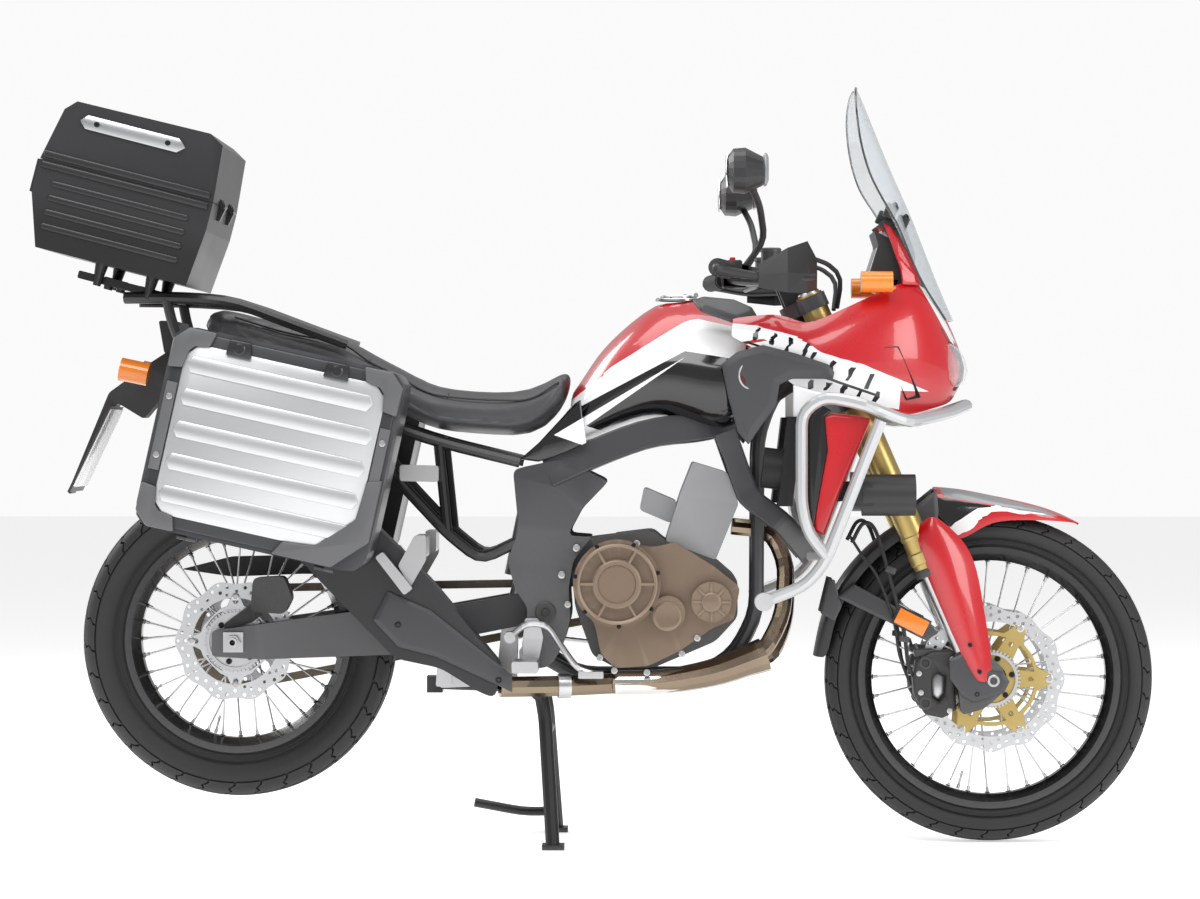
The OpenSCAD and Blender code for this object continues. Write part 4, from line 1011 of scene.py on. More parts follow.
def build_fork_details():
    rings = []
    for side in (-1, 1):
        y = side * 106
        rings += [
            (dark_cast, turned("dust_seal", [(21.6, -6), (30.5, -6), (30.5, 9), (29, 12), (21.6, 12)],
                on_fork(30, y, 614), (-math.sin(RAKE), 0, math.cos(RAKE)), 40)),
            (gold_alloy, turned("fork_step", [(28.4, 0), (30.4, 2), (30.4, 24), (28.4, 27)],
                on_fork(30, y, 636), (-math.sin(RAKE), 0, math.cos(RAKE)), 40)),
            (gold_alloy, turned("fork_step_low", [(28.4, 0), (29.8, 1.5), (29.8, 8), (28.4, 10)],
                on_fork(30, y, 690), (-math.sin(RAKE), 0, math.cos(RAKE)), 40)),
            (bright_steel, turned("fork_cap", [(0, 0), (24, 0), (24, 5), (21, 8), (14, 8), (13, 4), (0, 4)],
                on_fork(30, y, 1247), (-math.sin(RAKE), 0, math.cos(RAKE)), 36))]
    for tag, material in (("seals", dark_cast), ("sleeves", gold_alloy), ("caps", bright_steel)):
        chosen = [obj for finish_used, obj in rings if finish_used is material]
        wear(joined("fork_" + tag, chosen), material, "steering")
    lug = panel_of("fork_lug", [(1498, -126, 392), (1530, -127, 408), (1560, -127, 372), (1612, -127, 366),
        (1624, -127, 346), (1612, -127, 322), (1580, -127, 312), (1548, -127, 304), (1524, -127, 318),
        (1500, -127, 352)], (0, -4, 0), 8, 0.8, 1.5)
    ring = turned("axle_nut", [(6.2, 0), (14, 0), (14, 3), (12, 5), (8, 5), (7.4, 2), (6.2, 2)],
        at(FRONT_X, -130, FRONT_Z), (0, -1, 0), 36)
    wear(both_sides(lug, "fork_lugs"), moulded_grey, "steering")
    wear(both_sides(ring, "front_axle_nuts"), bright_steel, "steering")
    spots = [(1536, -131, 392), (1556, -131, 320)]
    bolts("pinch_bolts", spots, (0, -1, 0), 5.5, 4, "steering", dark_bolt)


def build_front_hoses():
    right = tube("brake_hose_right", [(1296, -96, 636), (1320, -100, 676), (1346, -104, 660),
        (1376, -110, 560), (1404, -112, 452), (1414, -108, 380), (1428, -96, 352)], 4.2, smooth_path=True)
    wire = tube("speed_sensor_wire", [(1292, -92, 650), (1320, -98, 606), (1352, -104, 560), (1384, -106,
        470),
        (1396, -104, 400), (1420, -92, 336)], 3.2, smooth_path=True)
    left = tube("brake_hose_left", [(1296, 96, 636), (1320, 100, 676), (1346, 104, 660), (1376, 110, 560),
        (1404, 112, 452), (1414, 108, 380), (1428, 96, 352)], 4.2, smooth_path=True)
    wear(joined("front_brake_hoses", [right, wire, left]), rubber, "steering")
    clips = [box_part("hose_clip", (1366, -116, 572), (1388, -98, 586), 2, (0, 20, 0)),
        box_part("hose_clip_low", (1394, -116, 428), (1416, -98, 440), 2, (0, 8, 0))]
    wear(both_sides(joined("hose_clips", clips)), dark_cast, "steering")


build_fork_guards()
build_mudguard()
build_front_brake(-1)
build_front_brake(1)
build_fork_details()
build_front_hoses()


# ---- Bodywork ----

def slashes(x, z, count, step, slope, high, wide):
    """Slanted bars in a row, as plain decoration."""
    return [(black_paint, [(x + k * step, z + k * slope), (x + k * step + wide, z + k * slope),
        (x + k * step + wide + high * 0.45, z + k * slope + high),
        (x + k * step + high * 0.45, z + k * slope + high)]) for k in range(count)]


def build_cowl():
    ribs = [((1044, -178, 1103), (1043, -200, 1086), (1041, -206, 1064)),
        ((1085, -176, 1106), (1085, -207, 1080), (1084, -214, 1046)),
        ((1130, -170, 1112), (1130, -212, 1070), (1130, -220, 1006)),
        ((1168, -172, 1102), (1168, -214, 1048), (1166, -216, 962)),
        ((1200, -176, 1087), (1206, -214, 1036), (1208, -213, 952)),
        ((1259, -172, 1115), (1264, -211, 1044), (1262, -204, 940)),
        ((1330, -156, 1148), (1334, -201, 1050), (1330, -187, 921)),
        ((1400, -132, 1184), (1404, -181, 1060), (1396, -164, 900)),
        ((1444, -104, 1176), (1448, -157, 1058), (1440, -142, 912)),
        ((1480, -80, 1126), (1482, -127, 1036), (1476, -116, 922)),
        ((1506, -50, 1082), (1511, -88, 1010), (1500, -84, 930)),
        ((1523, -8, 1046), (1530, -44, 996), (1514, -40, 950))]
    side = sheet_of("cowl_side", profile_rows(ribs, 7), thick=4, levels=2, offset=1, angle=32)
    white = [(1030, 1094), (1098, 1087), (1174, 1067), (1228, 1032), (1307, 1010), (1371, 985), (1453, 952),
        (1393, 954), (1390, 915), (1288, 934), (1150, 940), (1100, 990), (1030, 1020)]
    areas = [(red_paint, None), (white_paint, white), (red_paint, [(1030, 1050), (1110, 1062), (1110, 1056),
        (1030, 1043)]), (white_paint, [(1422, 1199), (1434, 1206), (1516, 1060), (1508, 1052)])]
    areas += slashes(1082, 1058, 4, 34, -11, 27, 9) + slashes(1196, 1006, 4, 40, -15, 26, 10)
    areas += slashes(1196, 958, 5, 34, -7, 20, 9)
    areas += [(black_paint, [(1070, 1058), (1200, 1012), (1200, 1008), (1066, 1054)]),
        (black_paint, [(1190, 998), (1352, 944), (1350, 939), (1186, 994)])]
    colour_areas(side, areas)
    wear(both_sides(side, "cowl_sides"), None, "chassis", ["front_cowl"])
    vent = panel_of("cowl_vent", [(1356, -190, 1044), (1386, -184, 1046), (1434, -160, 940), (1404, -168,
        934)],
        (2, -9, 0), 5, -0.9, 1.5)
    wear(both_sides(vent, "cowl_vents"), deep_black, "chassis")
    pillar = panel_of("screen_pillar", [(1361, -112, 1311), (1386, -106, 1300), (1406, -112, 1256),
        (1434, -118, 1198), (1440, -118, 1176), (1402, -138, 1176), (1398, -132, 1208), (1380, -122, 1262)],
        (-4, -9, 0), 5, 0.6, 2)
    wear(both_sides(pillar, "screen_pillars"), red_paint, "chassis")
    rows = []
    for x, z, half, bow in ((1516, 1058, 34, 10), (1494, 1110, 74, 26), (1470, 1168, 102, 36),
            (1440, 1236, 112, 40), (1412, 1300, 108, 38)):
        rows.append([at(x - 10 - bow * f * f, f * half, z) for f in (-1, -0.66, -0.33, 0, 0.33, 0.66, 1)])
    wear(sheet_of("nose_panel", rows, thick=3, levels=2, offset=-1), black_paint, "chassis")
    stripe = []
    for side_y in (-1, 1):
        edge_line = [row[0 if side_y < 0 else -1] + Vector((0.004, 0, 0)) for row in rows]
        stripe.append(tube("nose_edge", edge_line, 3.5, smooth_path=True, round_by=3))
    wear(joined("nose_edges", stripe), white_paint, "chassis")


def build_headlights():
    bezel = panel_of("lamp_bezel", [(1444, -128, 1080), (1480, -104, 1087), (1494, -92, 1062),
        (1520, -70, 1040), (1532, -50, 1006), (1530, -48, 978), (1512, -70, 954), (1472, -104, 965)],
        (3, -12, 0), 9, -0.5, 2)
    wear(both_sides(bezel, "lamp_bezels"), moulded_grey, "chassis")
    lens = panel_of("lamp_lens", [(1490, -98, 1054), (1506, -82, 1046), (1522, -62, 1024), (1530, -50, 996),
        (1522, -60, 972), (1506, -80, 962), (1488, -98, 980), (1484, -102, 1016)], (12, -14, 0), 8, 0.35, 3,
            3)
    wear(both_sides(lens, "lamp_lenses"), lens_clear, "chassis", ["headlights"])
    bowl = turned("lamp_bowl", [(0, 0), (10, 1), (20, 5), (27, 14), (29, 16), (29, 20), (24, 20), (0, 6)],
        at(1490, -76, 1010), (0.75, -0.66, 0), 32)
    bulb = turned("lamp_bulb", [(0, 4), (7, 4), (7, 10), (5, 14), (0, 15)], at(1490, -76, 1010),
        (0.75, -0.66, 0), 20)
    wear(both_sides(joined("lamp_bowls", [bowl, bulb])), chrome, "chassis")


def build_screen():
    stations = [(1516, 1104, 82, 22), (1478, 1190, 134, 42), (1440, 1290, 160, 48), (1420, 1340, 186, 58),
        (1392, 1400, 214, 64), (1362, 1470, 214, 54), (1334, 1540, 190, 34), (1316, 1582, 130, 14),
        (1310, 1594, 56, 4)]
    rows = [[at(x - bow * (k / 6) ** 2, half * k / 6, z) for k in range(-6, 7)] for x, z, half,
        bow in stations]
    screen = sheet_of("touring_screen", rows, thick=3.5, levels=1, edge=0, offset=-1, angle=60)
    wear(screen, screen_clear, "chassis", ["windscreen"])
    rim = [row[0] for row in rows] + rows[-1][1:-1] + [row[-1] for row in reversed(rows)]
    wear(tube("screen_edge", flowing(rim, 3), 2.2, round_by=2), display_glass, "chassis")
    mounts = []
    for x, y, z in ((1376, -132, 1330), (1400, -122, 1306)):
        mounts.append(box_part("screen_mount", (x - 14, y - 9, z - 16), (x + 12, y + 9, z + 14), 3, (0, 24,
            0)))
        mounts.append(copied(bolt_part("screen_stud", 7, 6), [facing(at(x + 6, y - 4, z + 10), (0.7, -0.5,
            0.4))]))
    mounts.append(panel_of("mount_arm", [(1350, -124, 1304), (1374, -124, 1322), (1412, -118, 1262),
        (1400, -118, 1240)], (0, 7, 0), 0, 0, 1.5))
    wear(both_sides(joined("screen_mounts", mounts)), moulded_black, "chassis")


def build_tank():
    stations = [(702, 834, 946, 134), (716, 834, 962, 146), (735, 842, 990, 154), (760, 852, 1030, 162),
        (790, 864, 1064, 172), (832, 882, 1102, 182), (884, 893, 1142, 192), (930, 884, 1151, 198),
        (985, 860, 1150, 202), (1030, 856, 1142, 203), (1062, 880, 1130, 198), (1076, 930, 1112, 184)]
    rings = []
    for x, low, high, half in stations:
        mid = low + (high - low) * 0.42
        ring = []
        for k in range(28):
            a = FULL_TURN * k / 28
            c, s = math.cos(a), math.sin(a)
            e = 1.75 if s > 0 else 3.2
            y = half * math.copysign(abs(c) ** (2 / e), c)
            z = mid + ((high - mid) if s > 0 else (mid - low)) * math.copysign(abs(s) ** (2 / e), s)
            ring.append(at(x, y * (1 if s > 0 else 1 - 0.22 * abs(s) ** 2), z))
        rings.append(ring)
    tank = loft_of("tank_shell", rings, levels=1)
    black = [(680, 830), (713, 914), (948, 1038), (974, 1031), (1023, 1024), (1090, 1010), (1090, 830)]
    white = [(660, 900), (759, 974), (799, 1009), (948, 1101), (974, 1105), (1049, 1088), (1090, 1080),
        (1090, 1010), (1023, 1024), (974, 1031), (948, 1038), (713, 914), (680, 830)]
    colour_areas(tank, [(red_paint, None), (white_paint, white), (black_paint, black),
        (white_paint, [(672, 862), (946, 1024), (739, 881), (788, 865), (735, 840)])])
    neck = turned("filler_well", [(0, 0), (40, 0), (40, 30), (0, 30)], at(930, 0, 1132), (0, 0, 1), 48)
    cut(tank, neck)
    wear(tank, None, "chassis", ["fuel_tank"])
    ring = turned("filler_ring", [(37.8, 0), (46, 0), (46, 4), (44, 6), (38.6, 6), (37.8, 5)],
        at(930, 0, 1146), (0, 0, 1), 56)
    wear(ring, bright_steel, "chassis")
    cap = turned("cap_lid", [(0, 0), (36, 0), (36, 7), (33.5, 9.5), (28, 9.5), (27, 8.4), (12, 8.4), (11,
        9.6),
        (0, 9.6)], at(930, 0, 1148.5), (0, 0, 1), 56)
    lock = box_part("cap_lock_flap", (922, -9, 1157.5), (950, 9, 1161), 1)
    knuckle = tube("cap_knuckle", [(970, -12, 1159), (970, 12, 1159)], 5, round_by=4)
    arm = box_part("cap_arm", (960, -9, 1152), (971, 9, 1158), 1)
    wear(joined("cap_top", [cap, lock, knuckle, arm]), bright_steel, "cap_body", ["fuel_cap"])
    bolts("filler_bolts", [(930 + 42 * math.cos(a), 42 * math.sin(a), 1151) for a in
        (0.9, 2.2, 3.4, 4.4, 5.4)], (0, 0, 1), 3, 2, "chassis", dark_bolt)
    pod = panel_of("tank_pod", [(962, -146, 1136), (984, -138, 1143), (1048, -128, 1137), (1086, -140, 1120),
        (1096, -158, 1102), (1054, -184, 1090), (978, -182, 1117)], (0, -3, 9), 12, 0.5, 2.5, 3)
    wear(both_sides(pod, "tank_pods"), moulded_grey, "chassis")
    socket = turned("pod_socket", [(0, 0), (7, 0), (7, 3), (5, 4), (4, 1), (0, 1)], at(1032, -152, 1132),
        (0, -0.5, 0.86), 24)
    wear(both_sides(socket, "pod_sockets"), deep_black, "chassis")


def build_side_tails():
    tail = panel_of("side_tail", [(600, -136, 811), (640, -140, 846), (690, -146, 900), (712, -150, 926),
        (728, -158, 936), (740, -160, 846), (700, -150, 826), (640, -140, 806)], (0, -6, 0), 6, 0.7, 2)
    colour_areas(tail, [(black_paint, None), (white_paint, [(672, 862), (800, 938), (739, 881), (788, 865),
        (735, 840)])])
    wear(both_sides(tail, "side_tails"), None, "chassis")


def build_shrouds():
    shroud = panel_of("side_shroud", [(1020, -208, 1008), (1052, -213, 1034), (1106, -219, 1048),
        (1176, -224, 1030), (1240, -226, 1008), (1253, -226, 992), (1250, -226, 978), (1165, -226, 978),
        (1140, -224, 966), (1133, -222, 921), (1102, -218, 880), (1076, -210, 842), (1054, -204, 868),
        (1034, -206, 940)], (0, -8, 0), 16, 0.7, 3, 3)
    wear(both_sides(shroud, "shroud_panels"), moulded_grey, "chassis", ["side_shrouds"])
    badge = turned("plain_badge", [(0, 0), (28, 0), (28, 2.4), (0, 3.2)], at(1086, -223, 986), (0, -1, 0), 48)
    rim = turned("badge_rim", [(28, 0), (31.5, 0), (31.5, 3), (30, 4), (28, 3.4)], at(1086, -223, 986),
        (0, -1, 0), 56)
    wear(both_sides(badge, "plain_badges"), finish("badge_dark_red", (0.075, 0.008, 0.014), 0.2, coat=0.7,
        bump=0.02), "chassis")
    wear(both_sides(rim, "badge_rims"), bright_steel, "chassis")
    wing = panel_of("radiator_wing", [(1209, -244, 664), (1231, -246, 655), (1262, -250, 740),
        (1300, -252, 830), (1328, -248, 896), (1300, -246, 902), (1248, -244, 908), (1232, -244, 900),
        (1238, -246, 830), (1216, -245, 710)], (0, -5, 0), 7, 0.6, 2)
    wear(both_sides(wing, "radiator_wings"), red_paint, "chassis", ["radiator_shrouds"])
    band = panel_of("radiator_wing_band", [(1196, -238, 700), (1209, -240, 664), (1218, -241, 710),
        (1240, -241, 830), (1234, -240, 900), (1248, -240, 912), (1216, -238, 930), (1196, -236, 900)],
        (0, -5, 0), 4, 0.5, 1.5)
    wear(both_sides(band, "radiator_wing_bands"), black_paint, "chassis")
    strip = panel_of("radiator_wing_edge", [(1176, -230, 760), (1196, -236, 700), (1197, -236, 905),
        (1216, -237, 932), (1236, -236, 946), (1168, -224, 966), (1168, -224, 900)],
        (0, -4, 0), 4, 0.5, 1.5)
    wear(both_sides(strip, "radiator_wing_edges"), white_paint, "chassis")


build_cowl()
build_headlights()
build_screen()
build_tank()
build_side_tails()
build_shrouds()


# ---- Cushion for rider and pillion ----

SEAT_STATIONS = [(-76, 1072, 1134, 96), (0, 1052, 1118, 122), (110, 1012, 1086, 132), (224, 968, 1066, 136),
    (285, 940, 1026, 138), (340, 912, 1000, 142), (398, 880, 966, 150), (449, 868, 953, 156),
    (547, 862, 946, 152), (620, 858, 950, 138), (680, 900, 984, 112), (700, 966, 1000, 100)]


def seat_point(station, angle, swell=1.0):
    x, low, high, half = station
    c, s = math.cos(angle), math.sin(angle)
    power = 2 / 3.2
    return at(x, swell * half * math.copysign(abs(c) ** power, c),
        (low + high) / 2 + swell * (high - low) / 2 * math.copysign(abs(s) ** power, s))


def build_seat():
    rings = [[seat_point(station, FULL_TURN * k / 24) for k in range(24)] for station in SEAT_STATIONS]
    seat = loft_of("seat_cushion", rings, levels=1)
    inflate(seat)
    wear(seat, moulded_grey, "chassis", ["seat"])
    seams = []
    for side in (math.radians(38), math.radians(142)):
        line = [seat_point(station, side, 1.012) for station in SEAT_STATIONS[1:-1]]
        seams.append(tube("seat_seam", line, 2.2, round_by=2, smooth_path=True))
    for index in (4, 7):
        line = [seat_point(SEAT_STATIONS[index], math.radians(38 + 8 * k), 1.012) for k in range(14)]
        seams.append(tube("seat_cross_seam", line, 2.0, round_by=2))
    wear(joined("seat_seams", seams), moulded_black, "chassis")


def inflate(seat, cap=0.005):
    """Foam pressing out under its cover: cloth under pressure, held along the bottom."""
    modify(seat, "REMESH", mode="VOXEL", voxel_size=0.006)
    before = [v.co.copy() for v in seat.data.vertices]
    held = seat.vertex_groups.new(name="base_pan")
    held.add([v.index for v in seat.data.vertices if v.normal.z < -0.5], 1.0, "REPLACE")
    cloth = seat.modifiers.new("cover", "CLOTH")
    cloth.settings.vertex_group_mass = "base_pan"
    cloth.settings.use_pressure = True
    cloth.settings.uniform_pressure_force = 4
    cloth.settings.effector_weights.gravity = 0
    cloth.point_cache.frame_start, cloth.point_cache.frame_end = 1, 20
    for frame_number in range(1, 21):
        bpy.context.scene.frame_set(frame_number)
    only(seat)
    bpy.ops.object.modifier_apply(modifier="cover")
    for vertex, start in zip(seat.data.vertices, before):
        step = vertex.co - start
        if step.length > cap:
            vertex.co = start + step * (cap / step.length)
    bpy.context.scene.frame_set(1)
    seat.vertex_groups.clear()
    refine(seat, 1)


# ---- Cases ----

def case_outline(inset, corner):
    x0, x1, z0, z1 = -45 + inset, 430 - inset, inset, 412 - inset
    return [(x0 + corner, z0), (x1 - corner * 2, z0), (x1, z0 + corner * 2.2), (x1, z1 - corner),
        (x1 - corner, z1), (x0 + corner, z1), (x0, z1 - corner), (x0, z0 + corner)]


def build_pannier(side):
    tag = "right" if side < 0 else "left"
    body = tag + "_lid_body"
    def y(depth):
        return side * depth
    def slab(name, outline, low, high, edge):
        return plate(name, outline, min(y(low), y(high)), max(y(low), y(high)), place=on_pannier, edge=edge)
    wear(slab("pannier_frame_" + tag, case_outline(9, 34), 474, 480, 3), case_frame, body)
    panel = [slab("pannier_panel", case_outline(32, 26), 476, 482, 2)]
    for k in range(5):
        z = 74 + 66 * k
        lead = 14 if k == 4 else 0
        panel.append(slab("pannier_rib", [(4, z - 17), (380 - lead, z - 17), (390 - lead, z), (380 - lead,
            z + 17),
            (4, z + 17), (-6, z)], 480, 485, 2.4))
    wear(joined("pannier_panel_" + tag, panel), brushed_panel, body)
    corners = []
    for cx, cz, sx, sz in ((-45, 0, 1, 1), (430, 0, -1, 1), (-45, 412, 1, -1), (430, 412, -1, -1)):
        cap = 2.2 if (cx, cz) == (430, 0) else 1
        outline = [(cx + sx * a, cz + sz * b) for a, b in ((2, 30 * cap), (30 * cap, 2), (86 * cap, 3),
            (78 * cap, 32),
            (48 * cap, 38), (38, 48 * cap), (32, 84 * cap), (3, 88 * cap))]
        corners.append(slab("corner_guard", outline, 470, 488, 4))
    wear(joined("corner_guards_" + tag, corners), case_grey, body)
    strips = [slab("side_strip", [(x - 11, 116), (x + 11, 116), (x + 11, 296), (x - 11, 296)], 478, 484, 2)
        for x in (-26, 411)]
    wear(joined("side_strips_" + tag, strips), case_grey, body)
    bolts("strip_screws_" + tag, [on_pannier(x, y(484), z)
        for x in (-26, 411) for z in (146, 266)], (0, side, 0), 6.5, 2.5, body, bright_bolt)
    latches = []
    for x in (92, 292):
        latches.append(slab("latch", [(x - 26, 372), (x + 26, 372), (x + 22, 404), (x - 22, 404)], 482, 490,
            3))
        latches.append(turned("latch_button", [(0, 0), (12, 0), (12, 3), (9, 5), (0, 5)],
            on_pannier(x, y(489), 388), (0, side, 0), 28))
    wear(joined("pannier_latches_" + tag, latches), case_black, body)
    hoops = []
    for x in (60, 330):
        hoops.append(slab("tray_strap", [(x - 14, 30), (x + 14, 30), (x + 14, 380), (x - 14, 380)], 232, 236,
            1))
    wear(joined("tray_straps_" + tag, hoops), case_grey, "chassis")


def build_top_box():
    trims = []
    for side in (-1, 1):
        low, high = sorted((side * 219, side * 225))
        trims.append(plate("box_trim", [(40, 262), (236, 262), (252, 276), (236, 292), (40, 292), (26, 277)],
            low, high, place=on_top_box, edge=2))
    wear(joined("top_box_trims", trims), brushed_trim, "top_lid_body")
    for side in (-1, 1):
        bolts("trim_screws_" + ("right" if side < 0 else "left"), [on_top_box(u, side * 225,
            277) for u in (62, 214)],
            (0, side, 0), 6, 2.5, "top_lid_body", dark_bolt)
    for label, v0, v1, body in (("base", 164, 177, "chassis"), ("lid", 186, 200, "top_lid_body")):
        lips = []
        for side in (-1, 1):
            low, high = sorted((side * 218, side * 224))
            lips.append(plate("box_lip", [(-30, v0), (326, v0), (326, v1), (-30, v1)], low, high,
                place=on_top_box, edge=2))
        wear(joined("top_box_lip_" + label, lips), case_black, body)
    ribs = []
    for side in (-1, 1):
        low, high = sorted((side * 218, side * 222))
        for v in (40, 70, 100, 130):
            ribs.append(plate("box_rib", [(4, v), (290, v), (296, v + 6), (290, v + 12), (4, v + 12), (-2,
                v + 6)],
                low, high, place=on_top_box, edge=1.4))
    wear(joined("top_box_ribs", ribs), case_black, "chassis")
    pegs = [turned("rack_peg", [(0, 0), (9, 0), (12, 22), (12, 26), (0, 26)], at(x, y, z), (0.25, 0, 0.97),
        24)
        for x, z in ((-270, 1168), (-196, 1148)) for y in (-90, 90)]
    wear(joined("rack_pegs", pegs), moulded_black, "chassis")


# ---- Tail ----

def build_tail():
    lamp = panel_of("tail_lamp", [(-166, -62, 1104), (-128, -62, 1103), (-120, -62, 1052), (-134, -62, 1050)],
        (0, 124, 0), 0, 0, 5, 3)
    wear(lamp, red_lens, "chassis")
    blank = plate("blank_plate", [(-345, 756), (-340, 752), (-262, 916), (-267, 920)], -88, 88, edge=1)
    wear(blank, white_paint, "chassis")


build_seat()
build_pannier(-1)
build_pannier(1)
build_top_box()
build_tail()


# ---- Engine and pipes ----

def disc_ribs(name, x, z, inner, outer, count, y, high):
    """Radial bars standing on a round cover."""
    bars = []
    for k in range(count):
        a = FULL_TURN * k / count
        c, s = math.cos(a), math.sin(a)
        bars.append(plate(name, [(x + inner * c - 3 * s, z + inner * s + 3 * c), (x + outer * c - 2.4 * s,
            z + outer * s + 2.4 * c), (x + outer * c + 2.4 * s, z + outer * s - 2.4 * c),
            (x + inner * c + 3 * s, z + inner * s - 3 * c)], y - high, y, edge=0.8))
    return bars


def build_covers():
    right = [turned("clutch_face", [(0, 0), (50, 0), (50, 4), (47, 6), (40, 6), (38, 3), (0, 3)],
            at(804, -212, 553), (0, -1, 0), 56),
        turned("clutch_rim", [(76, 0), (84, 0), (84, 4), (81, 6), (77, 4)], at(804, -211, 553), (0, -1, 0),
            64),
        turned("small_face", [(0, 0), (30, 0), (30, 4), (26, 5), (22, 3), (0, 3)], at(908, -181, 485), (0,
            -1, 0), 40),
        turned("pump_face", [(0, 0), (20, 0), (20, 5), (16, 7), (0, 7)], at(1000, -185, 515), (0, -1, 0), 40)]
    right += disc_ribs("clutch_rib", 804, 553, 48, 78, 6, -211, 5) + disc_ribs("pump_rib", 1000, 515, 18, 40,
        8, -185, 4)
    wear(joined("right_cover_faces", right), bronze_cast, "chassis")
    spots = [(701, 509), (768, 398), (798, 371), (866, 367), (939, 406), (971, 439), (845, 636)]
    bolts("cover_bolts", [(x, -160, z) for x, z in spots], (0, -1, 0), 7, 9, "chassis", bright_bolt)
    ring = [(804 + 88 * math.cos(a), -205, 553 + 88 * math.sin(a)) for a in (FULL_TURN * (k + 0.3) / 7 for
        k in range(7))]
    bolts("clutch_bolts", ring, (0, -1, 0), 5, 7, "chassis", dark_bolt)
    fins = [plate("head_fin", [(930 + 2 * k, 622 + 17 * k), (1012 + 4 * k, 622 + 17 * k), (1014 + 4 * k,
        626 + 17 * k),
        (930 + 2 * k, 626 + 17 * k)], -117, 117, edge=1) for k in range(8)]
    wear(joined("head_fins", fins), grey_cast, "chassis")


def build_pipe_shield():
    shield = tube("heat_shield", [(1085, -123, 392), (1010, -125, 366), (900, -129, 346), (800, -129, 343)],
        26,
        round_by=5, smooth_path=True)
    wear(shield, chrome, "chassis")
    clamp = tube("pipe_clamp", [(706, -148, 338), (680, -152, 338)], 26, round_by=5)
    wear(clamp, bright_steel, "chassis")


def build_silencer_trim():
    guard = panel_of("silencer_guard", [(588, -232, 330), (560, -232, 344), (430, -232, 404), (352, -232,
        424),
        (300, -232, 480), (330, -232, 540), (420, -232, 500), (520, -232, 420), (588, -232, 366)],
        (0, -5, 0), 10, 0.7, 2)
    wear(guard, moulded_grey, "chassis")
    bolts("silencer_bolts", [(560, -238, 356), (352, -238, 470)], (0, -1, 0), 7, 4, "chassis", dark_bolt)


def build_frame_bolts():
    spots = [(688, -148, 570), (719, -148, 626)]
    bolts("frame_bolts", spots, (0, -1, 0), 8, 6, "chassis", bright_bolt)
    cover = turned("pivot_cover", [(0, 0), (22, 0), (22, 3), (19, 5), (9, 5), (8, 3), (0, 3)],
        at(654, -146, 492), (0, -1, 0), 40)
    wear(both_sides(cover, "pivot_covers"), dark_cast, "chassis")


build_covers()
build_pipe_shield()
build_silencer_trim()
build_frame_bolts()


# ---- Cockpit ----

def build_grips():
    parts = []
    for k in range(11):
        t = 0.08 + 0.082 * k
        point = at(1034 - 28 * t, -(272 + 158 * t), 1201 - t)
        parts.append(turned("grip_ring", [(14, -4), (18.6, -4), (18.6, 4), (14, 4)], point,
            (-0.175, -0.984, 0), 28))
    wear(both_sides(joined("grip_ribs", parts)), rubber, "steering")


def build_mirror_faces():
    glass = panel_of("mirror_glass", [(1029, -362, 1362), (1029, -430, 1362), (1028, -436, 1384),
        (1029, -432, 1430), (1029, -362, 1432), (1028, -356, 1390)], (-3, 0, 0), 3, 0.2, 1)
    wear(both_sides(glass, "mirror_glasses"), mirror_glass, "steering")
    shell = panel_of("mirror_cap", [(1102, -366, 1366), (1102, -426, 1366), (1102, -432, 1400),
        (1102, -424, 1430), (1102, -366, 1430), (1102, -360, 1396)], (6, 0, 0), 10, 0.6, 2)
    wear(both_sides(shell, "mirror_caps"), grey_paint, "steering")


def build_bar_controls():
    cluster = [box_part("switch_box", (1030, -268, 1184), (1062, -236, 1222), 4),
        box_part("switch_arm", (1052, -262, 1196), (1078, -242, 1214), 3)]
    wear(both_sides(joined("switch_boxes", cluster)), moulded_black, "steering")
    button = box_part("stop_switch", (1036, -256, 1221), (1048, -246, 1228), 1.5)
    wear(button, signal_red, "steering")
    pot = turned("fluid_pot", [(0, 0), (20, 0), (20, 26), (22, 26), (22, 33), (19, 35), (0, 35)],
        at(1122, -214, 1214), (0, 0, 1), 36)
    wear(both_sides(pot, "fluid_pots"), moulded_grey, "steering")


def build_display():
    face = panel_of("dash_face", [(1334, -82, 1192), (1334, 82, 1192), (1354, 82, 1256), (1354, -82, 1256)],
        (-4, 0, 1), 4, 0.2, 1)
    wear(face, display_glass, "chassis")


build_grips()
build_mirror_faces()
build_bar_controls()
build_display()


# ---- Finishes of the CAD nodes that stay ----

